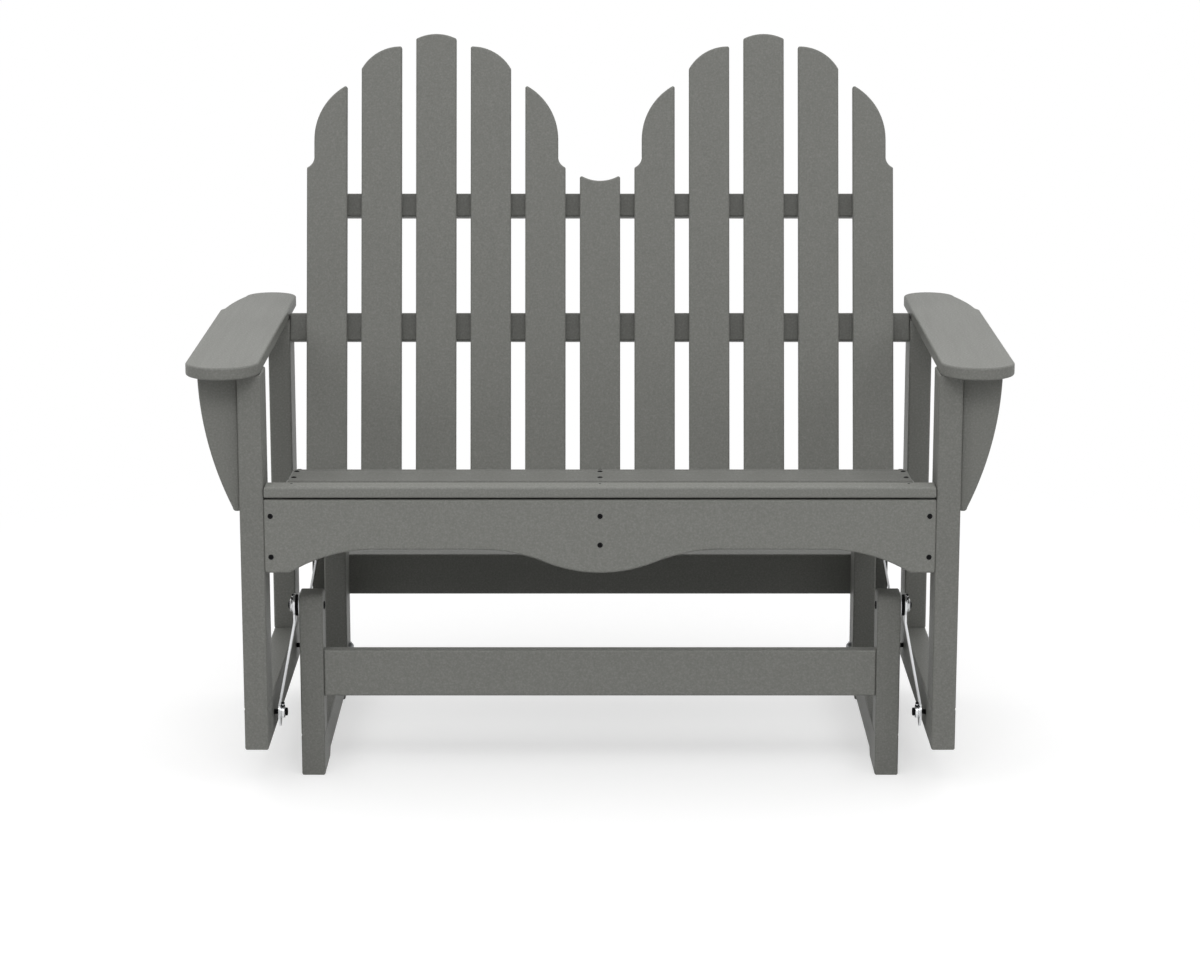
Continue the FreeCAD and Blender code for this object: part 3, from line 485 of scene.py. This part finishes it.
# %% [markdown]
# ## Where the screws are
#
# The seat and the apron are held by black screws. Their places and directions are read from the
# construction model: the points of one screw lie evenly round its axis, so their mean is on the
# axis and their longest spread is along it. Both rows of each seat slat sit further back on the
# real bench, the second row more than the first, and the apron's screws sit a little higher. So
# each screw also gets a shift, and its board moves the hole by as much.

# %% Screw places
HEAD_CAD = 1.2
SCREWS_APART = 9.0
COLUMNS = 3
ROW_SHIFT = (3.0, 11.0)
NOSE_SCREW_DOWN = 0.6
NOSE_SCREW_SUNK = 1.2
APRON_FORWARD = 8.0
APRON_SCREW_UP = 2.4


def split_groups(points, axis, gap):
    """Splits points into groups wherever they leave a gap along one axis."""
    order = np.argsort(points[:, axis])
    steps = np.diff(points[order, axis])
    return [points[part] for part in np.split(order, np.flatnonzero(steps > gap) + 1)]


def screw_frames(node_name, across, outward):
    """The point where each screw meets its board, and its direction out of the board."""
    places, axes = [], []
    for column in split_groups(node_points(node_name), 0, SCREWS_APART):
        for group in split_groups(column, across, SCREWS_APART):
            centre = group.mean(0)
            axis = np.linalg.svd(group - centre, full_matrices=False)[2][0]
            axis *= np.sign(axis @ outward)
            places.append(centre + axis * (((group - centre) @ axis).max() - HEAD_CAD))
            axes.append(axis)
    return np.array(places), np.array(axes)


seat_places, seat_axes = screw_frames("seat_screws", 1, (0.0, 0.0, 1.0))
rank = np.arange(len(seat_places)) % (len(seat_places) // COLUMNS)
in_nose = rank == 0
back = np.where(in_nose, 0.0, np.where(rank % 2 == 1, *ROW_SHIFT))
seat_shift = np.stack([0.0 * back, back * seat_axes[:, 2], -back * seat_axes[:, 1]], axis=1)
seat_shift[:, 2] -= NOSE_SCREW_DOWN * in_nose
seat_sunk = np.outer(in_nose, (0.0, 0.0, -NOSE_SCREW_SUNK))
apron_places, apron_axes = screw_frames("apron_screws", 2, (0.0, -1.0, 0.0))
apron_shift = np.array([[0.0, -APRON_FORWARD, APRON_SCREW_UP]] * len(apron_places))
print("screws:", len(seat_places), "in the seat,", len(apron_places), "in the apron")

# %% [markdown]
# ## Boards whose outline is corrected here
#
# Some constructed parts differ from the real bench by 2 to 31 mm, which shows in the picture. On
# the real bench the nose slat, the apron below it and the fronts of the legs are almost flush, and
# a thin black gap parts the slat from the apron. The seat slats behind the nose stop short of the
# legs. The front posts are a little lower, and the lower eyes of the straps reach a little further
# down. Each piece made here is a copy of the constructed one in which only the points named below
# move, so its rounded edges stay as constructed.

# %% Nose slat, apron, seat slats, posts and straps
NOSE_FRONT_Y, NOSE_BACK, NOSE_DOWN = -295.0, 10.0, 2.24
APRON_FRONT_Y, APRON_TOP_Z, APRON_DOWN = -280.0, 430.0, 5.2
SLAT_END_X, SLAT_END_IN = 470.0, 31.0
POST_TOP_Z, POST_DOWN = 263.5, 2.8
EYE_TOP_Z, EYE_HEIGHT, EYE_DOWN = 91.0, 17.0, 4.5
SEAT_HOLE_REACH, APRON_HOLE_REACH = 6.5, 3.0
HOLE_DEPTH, OUT_OF_REACH = 40.0, 1000.0


def reshaped(name, node_name, move, body="seat", slot="lumber"):
    """A merged copy of a CAD part in which a function moves the points, given in millimetres."""
    mesh = frame["nodes"][node_name].data.copy()
    mesh.name = name
    close_up(mesh)
    if slot == "lumber":
        mesh.shade_flat()
    mesh.vertices.foreach_set("co", (move(mesh_points(mesh)) * MM).ravel())
    mesh.update()
    return place_piece(name, mesh, body, (node_name,))


def hole_shift(points, places, shift, axes, reach):
    """How far each point moves with the hole it belongs to.

    A point's distance from a screw's axis is the length of its offset from the screw less the part
    that lies along the axis. A point within reach of the nearest axis takes that screw's shift,
    unless it lies deeper along the axis than a hole goes.
    """
    offset = points[:, None, :] - places[None, :, :]
    along = (offset * axes[None]).sum(-1, keepdims=True)
    away = np.linalg.norm(offset - along * axes[None], axis=-1)
    away = away + OUT_OF_REACH * (np.abs(along[..., 0]) > HOLE_DEPTH)
    nearest = away.argmin(1)
    return shift[nearest] * (away.min(1) < reach)[:, None]


def seat_hole_shift(points):
    """How far each point of a seat slat moves with its hole."""
    return hole_shift(points, seat_places, seat_shift, seat_axes, SEAT_HOLE_REACH)


def move_nose(points):
    """The front half of the slat goes back and down the line of sight; its rear edge stays."""
    front = points[:, 1:2] < NOSE_FRONT_Y
    moved = points + front * np.array([[0.0, NOSE_BACK, -NOSE_DOWN]])
    return moved + seat_hole_shift(points)


def move_apron(points):
    """The front face comes forward, the straight top edge goes down, and the holes go up."""
    front = points[:, 1:2] < APRON_FRONT_Y
    top = points[:, 2:] > APRON_TOP_Z
    holes = hole_shift(points, apron_places, apron_shift, apron_axes, APRON_HOLE_REACH)
    holes[:, 1] = 0.0
    forward = front * np.array([[0.0, -APRON_FORWARD, 0.0]])
    return points + holes + (forward + top * np.array([[0.0, 0.0, -APRON_DOWN]]))


def move_slat(points):
    """Both ends go in, and the holes go back with their screws."""
    ends = np.sign(points[:, :1]) * (np.abs(points[:, :1]) > SLAT_END_X)
    inwards = ends * np.array([[-SLAT_END_IN, 0.0, 0.0]])
    return points + inwards + seat_hole_shift(points)


def move_post(points):
    """The rounded top goes down."""
    return points - (points[:, 2:] > POST_TOP_Z) * np.array([[0.0, 0.0, POST_DOWN]])


def move_strap(points):
    """Below the lower pivot's height the eye is drawn out downwards, most at its lowest point."""
    below = np.clip((EYE_TOP_Z - points[:, 2:]) / EYE_HEIGHT, 0.0, 1.0)
    return points - below * np.array([[0.0, 0.0, EYE_DOWN]])


reshaped("nose_slat_flush", "seat_slat_1", move_nose)
reshaped("apron_flush", "front_apron", move_apron)
for number in range(2, 6):
    reshaped(f"seat_slat_{number}_short", f"seat_slat_{number}", move_slat)
for side_name in ("left", "right"):
    reshaped(f"front_post_{side_name}_low", f"front_post_{side_name}", move_post, "base")
    for end_name in ("front", "rear"):
        where = f"{end_name}_{side_name}"
        strap = f"hanger_strap_{where}"
        reshaped(f"strap_{where}_long", strap, move_strap, f"link_{where}", "link_steel")
print("boards and straps reshaped")

# %% [markdown]
# ## Screw heads
#
# Each screw is a low round head with a small hexagonal socket and a short length of shank, turned
# once and placed on every axis.

# %% Screw heads
SCREW_HEAD = [
    (0.0, -0.7, 1), (1.25, -0.7, 1), (1.35, 1.0, 1),
    (1.7, 1.15, 0), (2.6, 1.05, 0), (3.4, 0.75, 0), (3.8, 0.35, 0), (3.9, 0.0, 0), (3.9, -0.6, 0),
    (2.0, -0.6, 0), (2.0, -14.0, 0), (0.0, -15.5, 0),
]
turned(
    "seat_screw_heads", seat_places + seat_shift + seat_sunk, seat_axes, SCREW_HEAD, BLACK,
    "seat", ("seat_screws",), AROUND_SMALL,
)
turned(
    "apron_screw_heads", apron_places + apron_shift, apron_axes, SCREW_HEAD, BLACK,
    "seat", ("apron_screws",), AROUND_SMALL,
)
print("screw heads turned")

# %% [markdown]
# ## Pivots
#
# Each hanger link turns on two black bolts. Seen from the middle of the bench outwards, an upper
# pivot is the bolt's end in the inner face of the post, a pale washer and a black spacer on the
# outer face, the strap, its bright bearing housing and the button head. A ring in the post's own
# finish closes the wide recess that the construction model has round the bolt's end. A lower pivot
# is the mirror of it on the seat: head, housing, strap, and a slim black sleeve before the runner,
# with the nut sunk in the runner's outer face. Every height below is a distance from the bench's
# middle plane, and both sides use the same profile with its axis turned round.

# %% Upper bolts, spacers and washers
BOLT_STANDS_OUT = 1.6
WASHER_EDGE = 0.35
UPPER_HOLE = 4.2
SPACER_LOW, SPACER_HIGH, SPACER_RADIUS = 448.8, 452.7, 15.9
POST_WASHER_THICK, POST_WASHER_RADIUS = 1.6, 19.0
SLEEVE_START, SLEEVE_OVERLAP, SLEEVE_RADIUS = 1.4, 0.2, 9.0
HOUSING_CAD = 13.0
POST_INNER = {"front": 411.0, "rear": 404.0}
POST_OUTER = {"front": 446.0, "rear": 439.0}
STRAP_LOWER, RUNNER_INNER = 477.8, 488.0
BOTH_SIDES = ((-1.0, 0.0, 0.0), (1.0, 0.0, 0.0))

bearing_low, bearing_high = (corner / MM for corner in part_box("link_bearings_front_left"))
rear_low, rear_high = (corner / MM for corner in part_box("link_bearings_rear_left"))
UPPER_Z, LOWER_Z = bearing_high[2] - HOUSING_CAD, bearing_low[2] + HOUSING_CAD
PIVOT_Y = {
    "front": (bearing_low[1] + bearing_high[1]) / 2,
    "rear": (rear_low[1] + rear_high[1]) / 2,
}


def upper_bolt(inner):
    """A button head with a hexagonal socket, a shank, and a thick end out of the inner face."""
    end = inner - BOLT_STANDS_OUT
    socket = [(0.0, 462.5, 1), (2.2, 462.5, 1), (2.4, 463.7, 1)]
    head = [
        (2.8, 463.9, 0), (3.8, 463.7, 0), (4.9, 463.1, 0), (5.7, 462.3, 0), (5.9, 461.7, 0),
        (5.9, 461.2, 0),
    ]
    shank = [(4.0, 461.1, 0), (4.0, inner + 9.0, 0)]
    thick_end = [(5.9, inner + 8.9, 0), (5.9, end + 0.7, 0), (5.4, end + 0.2, 0), (4.6, end, 0)]
    centre_mark = [(2.0, end, 0), (1.8, end + 1.2, 0), (0.0, end + 1.2, 0)]
    return socket + head + shank + thick_end + centre_mark


def recess_ring(inner):
    """A flush ring in the post's own finish that closes the recess round the bolt's end."""
    flush, deep = inner + 0.1, inner + 6.0
    return [(6.2, deep, 0), (6.2, flush, 0), (11.9, flush, 0), (11.9, deep, 0)]


def washer(low, high, hole, radius):
    """A flat ring with rounded outer rims."""
    return [(hole, low, 0)] + rounded(radius, low, high, WASHER_EDGE) + [(hole, high, 0)]


for end_name, y in PIVOT_Y.items():
    spots = np.array([(0.0, y, UPPER_Z)] * 2)
    inner, outer = POST_INNER[end_name], POST_OUTER[end_name]
    post_washer = washer(outer, outer + POST_WASHER_THICK, UPPER_HOLE, POST_WASHER_RADIUS)
    sleeve = washer(outer + SLEEVE_START, SPACER_LOW + SLEEVE_OVERLAP, UPPER_HOLE, SLEEVE_RADIUS)
    spacer = washer(SPACER_LOW, SPACER_HIGH, UPPER_HOLE, SPACER_RADIUS)
    first = end_name == "front"
    turned(
        f"upper_bolts_{end_name}", spots, BOTH_SIDES, upper_bolt(inner), BLACK, "base",
        ("upper_pivot_bolts", "upper_pivot_nuts") if first else (),
    )
    turned(
        f"recess_rings_{end_name}", spots, BOTH_SIDES, recess_ring(inner), LUMBER["z"], "base",
        ring=True,
    )
    turned(
        f"upper_spacers_{end_name}", spots, BOTH_SIDES, spacer, BLACK, "base",
        ("upper_pivot_spacers",) if first else (), ring=True,
    )
    turned(f"post_washers_{end_name}", spots, BOTH_SIDES, post_washer, STEEL, "base", ring=True)
    turned(f"spacer_sleeves_{end_name}", spots, BOTH_SIDES, sleeve, STEEL, "base", ring=True)
print("upper pivots at z", round(UPPER_Z, 1), "and y", [round(y, 1) for y in PIVOT_Y.values()])

# %% [markdown]
# ## Lower pivots
#
# All four lower bolts ride on the seat. Each is turned as one solid from its socket, head and
# shank to its end in the nut, and the nut is a ring of its own with chamfered corners, so that the
# two never share a surface.

# %% Lower bolts, nuts and sleeves
LOWER_BOLT = [
    (0.0, 469.4, 1), (2.2, 469.4, 1), (2.4, 468.1, 1),
    (3.0, 467.9, 0), (5.2, 468.0, 0), (5.8, 468.4, 0), (6.1, 469.0, 0), (6.1, 471.2, 0),
    (5.6, 471.7, 0), (2.9, 471.8, 0), (2.9, 488.5, 0), (4.0, 488.6, 0),
    (4.0, 521.6, 0), (3.3, 522.3, 0), (0.0, 522.3, 0),
]
LOWER_NUT = [
    (4.2, 514.2, 0), (7.6, 514.2, 0), (9.0, 515.0, 1), (9.0, 520.2, 1),
    (7.7, 521.0, 0), (4.9, 521.0, 0), (4.2, 520.5, 0),
]
LOWER_SLEEVE = washer(481.2, RUNNER_INNER, 3.0, 3.6)

lower_spots = np.array([(0.0, y, LOWER_Z) for y in PIVOT_Y.values() for _ in BOTH_SIDES])
lower_axes = BOTH_SIDES * 2
turned("lower_bolts", lower_spots, lower_axes, LOWER_BOLT, BLACK, "seat", ("lower_pivot_bolts",))
for piece_name, profile, node_name in (
    ("lower_nuts", LOWER_NUT, "lower_pivot_nuts"),
    ("lower_sleeves", LOWER_SLEEVE, "lower_pivot_spacers"),
):
    turned(piece_name, lower_spots, lower_axes, profile, BLACK, "seat", (node_name,), ring=True)
print("lower pivots at z", round(LOWER_Z, 1))

# %% [markdown]
# ## Bearing housings
#
# A pressed steel housing with a rounded rim holds each bearing against its strap. It is a ring
# with a shallow groove on its open face, where the dark seal lies. The small fitting on its top is
# turned in three lengths: a black hexagon, a bright neck and a dark cap. All of them ride on the
# link, so they swing with the strap.

# %% Housings, seals and fittings
HOUSING_RADIUS, HOUSING_HOLE = 9.5, 4.4
RIM_EDGE, RIM_ROWS = 0.9, 5
UPPER_WALL, UPPER_FACE = 456.0, 460.9
LOWER_WALL, LOWER_FACE = STRAP_LOWER, 472.2
FITTING_X = {"upper": 456.2, "lower": 474.9}
FITTING_Z = {"upper": UPPER_Z, "lower": LOWER_Z - 2.0}
FITTING_LEAN = math.radians(8.0)
FITTING_BASE = [
    (0.0, 9.3, 1), (3.0, 9.3, 1), (3.2, 9.8, 1), (3.2, 12.6, 1), (2.8, 13.0, 0), (0.0, 13.0, 0),
]
FITTING_NECK = [
    (0.0, 12.8, 0), (1.9, 12.8, 0), (2.3, 13.4, 0), (2.3, 14.8, 0), (1.9, 15.4, 0), (0.0, 15.5, 0),
]
FITTING_CAP = [
    (0.0, 15.3, 0), (2.5, 15.3, 0), (2.8, 15.8, 0), (2.4, 16.9, 0), (1.2, 17.6, 0), (0.0, 17.8, 0),
]
FITTING_PARTS = (
    ("base", BLACK, FITTING_BASE), ("neck", STEEL, FITTING_NECK), ("cap", BLACK, FITTING_CAP),
)


def housing(wall, face):
    """A ring from the strap's wall to its open face, with a groove for the seal in that face."""
    out = math.copysign(1.0, face - wall)
    flange = HOUSING_RADIUS + 0.8
    foot = [
        (HOUSING_HOLE, wall, 0), (flange, wall, 0), (flange, wall + out * 0.8, 0),
        (HOUSING_RADIUS, wall + out * 1.3, 0),
    ]
    rim = [
        (HOUSING_RADIUS - RIM_EDGE + RIM_EDGE * math.cos(a),
         face - out * RIM_EDGE * (1 - math.sin(a)), 0)
        for a in np.linspace(0.0, np.pi / 2, RIM_ROWS)
    ]
    groove = [
        (8.1, face, 0), (8.0, face - out * 0.8, 0), (6.2, face - out * 0.8, 0),
        (6.1, face - out * 0.1, 0),
    ]
    inner_race = [(4.7, face - out * 0.1, 0), (HOUSING_HOLE, face - out * 0.4, 0)]
    return foot + rim + groove + inner_race


def seal(wall, face):
    """A low bulging ring that fills the housing's groove."""
    out = math.copysign(1.0, face - wall)
    return [
        (6.15, face - out * 0.9, 0), (6.15, face - out * 0.35, 0), (7.1, face - out * 0.25, 0),
        (8.05, face - out * 0.35, 0), (8.05, face - out * 0.9, 0),
    ]


for end_name, y in PIVOT_Y.items():
    for side, side_name in ((-1.0, "left"), (1.0, "right")):
        where = f"{end_name}_{side_name}"
        link = f"link_{where}"
        axis = [(side, 0.0, 0.0)]
        upper, lower = [(0.0, y, UPPER_Z)], [(0.0, y, LOWER_Z)]
        upper_ring, lower_ring = (UPPER_WALL, UPPER_FACE), (LOWER_WALL, LOWER_FACE)
        for name, place, profile, metal, stands_for in (
            ("housing_upper", upper, housing(*upper_ring), STEEL, (f"link_bearings_{where}",)),
            ("housing_lower", lower, housing(*lower_ring), STEEL, ()),
            ("seal_upper", upper, seal(*upper_ring), BLACK, ()),
            ("seal_lower", lower, seal(*lower_ring), BLACK, ()),
        ):
            turned(f"{name}_{where}", place, axis, profile, metal, link, stands_for, ring=True)
        tops = [(side * FITTING_X[level], y, FITTING_Z[level]) for level in ("upper", "lower")]
        lean = [(0.0, -math.sin(FITTING_LEAN), math.cos(FITTING_LEAN))] * 2
        for part_name, metal, profile in FITTING_PARTS:
            name = f"fitting_{part_name}_{where}"
            turned(name, tops, lean, profile, metal, link, steps=AROUND_SMALL)
print("housings, seals and fittings on", 2 * len(PIVOT_Y), "links")

# %% [markdown]
# ## Cap nuts
#
# The cap nuts on the rear posts are a hexagon with a dome over it, as they are forged. Their
# middle and their reach are read from the construction model. A point of the dome's profile lies
# radius * cos a out from the axis and radius * (1 - sin a) short of the dome's top.

# %% Cap nuts
DOME_RADIUS, DOME_START, DOME_ROWS = 6.6, 0.15, 8
HEXAGON = [(0.0, 403.9, 1), (8.0, 403.9, 1), (8.0, 400.6, 1), (6.9, 399.8, 0)]

cap_low, cap_high = (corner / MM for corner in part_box("rear_post_cap_nuts"))
cap_place = (0.0, (cap_low[1] + cap_high[1]) / 2, (cap_low[2] + cap_high[2]) / 2)
cap_reach = np.abs(node_points("rear_post_cap_nuts")[:, 0]).min()
dome = [
    (DOME_RADIUS * math.cos(a), cap_reach + DOME_RADIUS * (1 - math.sin(a)), 0)
    for a in np.linspace(DOME_START, np.pi / 2, DOME_ROWS)
]
turned(
    "rear_cap_nut_domes", [cap_place] * 2, BOTH_SIDES, HEXAGON + dome, ZINC, "base",
    ("rear_post_cap_nuts",),
)

# %% [markdown]
# ## The studio
#
# The bench stands on a pale floor in front of white. The floor is a large plane that catches the
# bench's soft shadow, and the camera sees it blend to plain white further out. The background is
# white for the camera and for reflections only. As light it grows from nothing at the horizon to
# its full strength overhead, so that the parts under the seat stay dark, as they are in a real
# studio with a large soft box above. A lamp high in front and a pair at the sides of the camera
# light the front faces evenly, and a weaker pair behind keeps the back readable.

# %% Floor, lamps and background
FLOOR_HALF = 14.0
FLOOR_Z = -0.0002
FLOOR_ALBEDO, FLOOR_ROUGH = 0.55, 0.9
FLOOR_LIFT = 0.555
WHITE_NEAR, WHITE_FAR = 0.85, 1.9
SKY_LIGHT, HORIZON_SHARE = 1.06, 0.0
BENCH_MIDDLE = (0.0, 0.0, 0.5)


def seen_rays(tree):
    """1 for rays that show the scene, straight, mirrored or through glass, and 0 for light."""
    rays = add_node(tree, "ShaderNodeLightPath")
    return rays("Is Camera Ray") + rays("Is Glossy Ray") + rays("Is Transmission Ray")


def make_floor():
    """A flat square just under z = 0. Near the bench it is a pale surface that takes the shadow.

    Further out, from WHITE_NEAR to WHITE_FAR, the camera sees it turn to plain white.
    """
    corners = [(-FLOOR_HALF, -FLOOR_HALF), (FLOOR_HALF, -FLOOR_HALF)]
    corners += [(FLOOR_HALF, FLOOR_HALF), (-FLOOR_HALF, FLOOR_HALF)]
    mesh = bpy.data.meshes.new("floor")
    mesh.from_pydata([(x, y, FLOOR_Z) for x, y in corners], [], [(0, 1, 2, 3)])
    floor = bpy.data.objects.new("floor", mesh)
    bpy.context.scene.collection.objects.link(floor)
    material, tree, shader = new_material("pale_floor")
    seen = seen_rays(tree)
    reach = add_node(
        tree, "ShaderNodeVectorMath", {"operation": "LENGTH"}, Vector=object_place(tree)
    )("Value")
    far = ramp(tree, reach, WHITE_NEAR, WHITE_FAR, "SMOOTHSTEP")
    set_inputs(
        tree, shader, Base_Color=(FLOOR_ALBEDO,) * 3, Roughness=FLOOR_ROUGH,
        Specular_IOR_Level=0.0,
    )
    lift = tree.nodes.new("ShaderNodeEmission")
    connect(tree, lift.inputs["Strength"], seen * FLOOR_LIFT)
    both = tree.nodes.new("ShaderNodeAddShader")
    tree.links.new(shader.outputs[0], both.inputs[0])
    tree.links.new(lift.outputs[0], both.inputs[1])
    white = tree.nodes.new("ShaderNodeEmission")
    blend = tree.nodes.new("ShaderNodeMixShader")
    connect(tree, blend.inputs[0], seen * far)
    tree.links.new(both.outputs[0], blend.inputs[1])
    tree.links.new(white.outputs[0], blend.inputs[2])
    output = next(one for one in tree.nodes if one.type == "OUTPUT_MATERIAL")
    tree.links.new(blend.outputs[0], output.inputs[0])
    mesh.materials.append(material)


def make_lamp(name, place, target, width, depth, power):
    """A soft rectangular lamp of a width, depth and power in watts that faces a point."""
    data = bpy.data.lights.new(name, "AREA")
    data.shape = "RECTANGLE"
    data.size, data.size_y = width, depth
    data.energy = power
    lamp = bpy.data.objects.new(name, data)
    direction = Vector(target) - Vector(place)
    turn = direction.to_track_quat("-Z", "Y").to_matrix().to_4x4()
    lamp.matrix_world = Matrix.Translation(place) @ turn
    bpy.context.scene.collection.objects.link(lamp)


def make_world():
    """White for the camera and reflections, and a soft light that grows towards the zenith."""
    world = bpy.data.worlds.new("studio")
    world.use_nodes = True
    tree = world.node_tree
    tree.nodes.clear()
    seen = seen_rays(tree)
    direction = add_node(tree, "ShaderNodeTexCoord")("Generated")
    height = add_node(tree, "ShaderNodeSeparateXYZ", Vector=direction)("Z")
    above = add_node(
        tree, "ShaderNodeMath", {"operation": "MAXIMUM"}, Value=height, Value_001=HORIZON_SHARE
    )()
    glow = tree.nodes.new("ShaderNodeBackground")
    output = tree.nodes.new("ShaderNodeOutputWorld")
    connect(tree, glow.inputs["Color"], (1.0, 1.0, 1.0))
    connect(tree, glow.inputs["Strength"], seen + (1.0 - seen) * above * SKY_LIGHT)
    tree.links.new(glow.outputs[0], output.inputs[0])
    bpy.context.scene.world = world


make_floor()
make_world()
make_lamp("overhead", (0.0, -0.2, 3.8), (0.0, 0.1, 0.3), 3.6, 3.0, 9.0)
make_lamp("front_high", (0.0, -3.716, 3.846), BENCH_MIDDLE, 2.6, 1.4, 46.0)
for side, name in ((-1, "left"), (1, "right")):
    make_lamp(f"front_{name}", (3.32 * side, -2.78, 3.0), BENCH_MIDDLE, 2.6, 2.2, 22.0)
    make_lamp(f"rear_{name}", (2.46 * side, 2.93, 3.7), BENCH_MIDDLE, 2.6, 2.2, 14.0)
bpy.context.scene.view_settings.view_transform = "Standard"
print("studio ready")
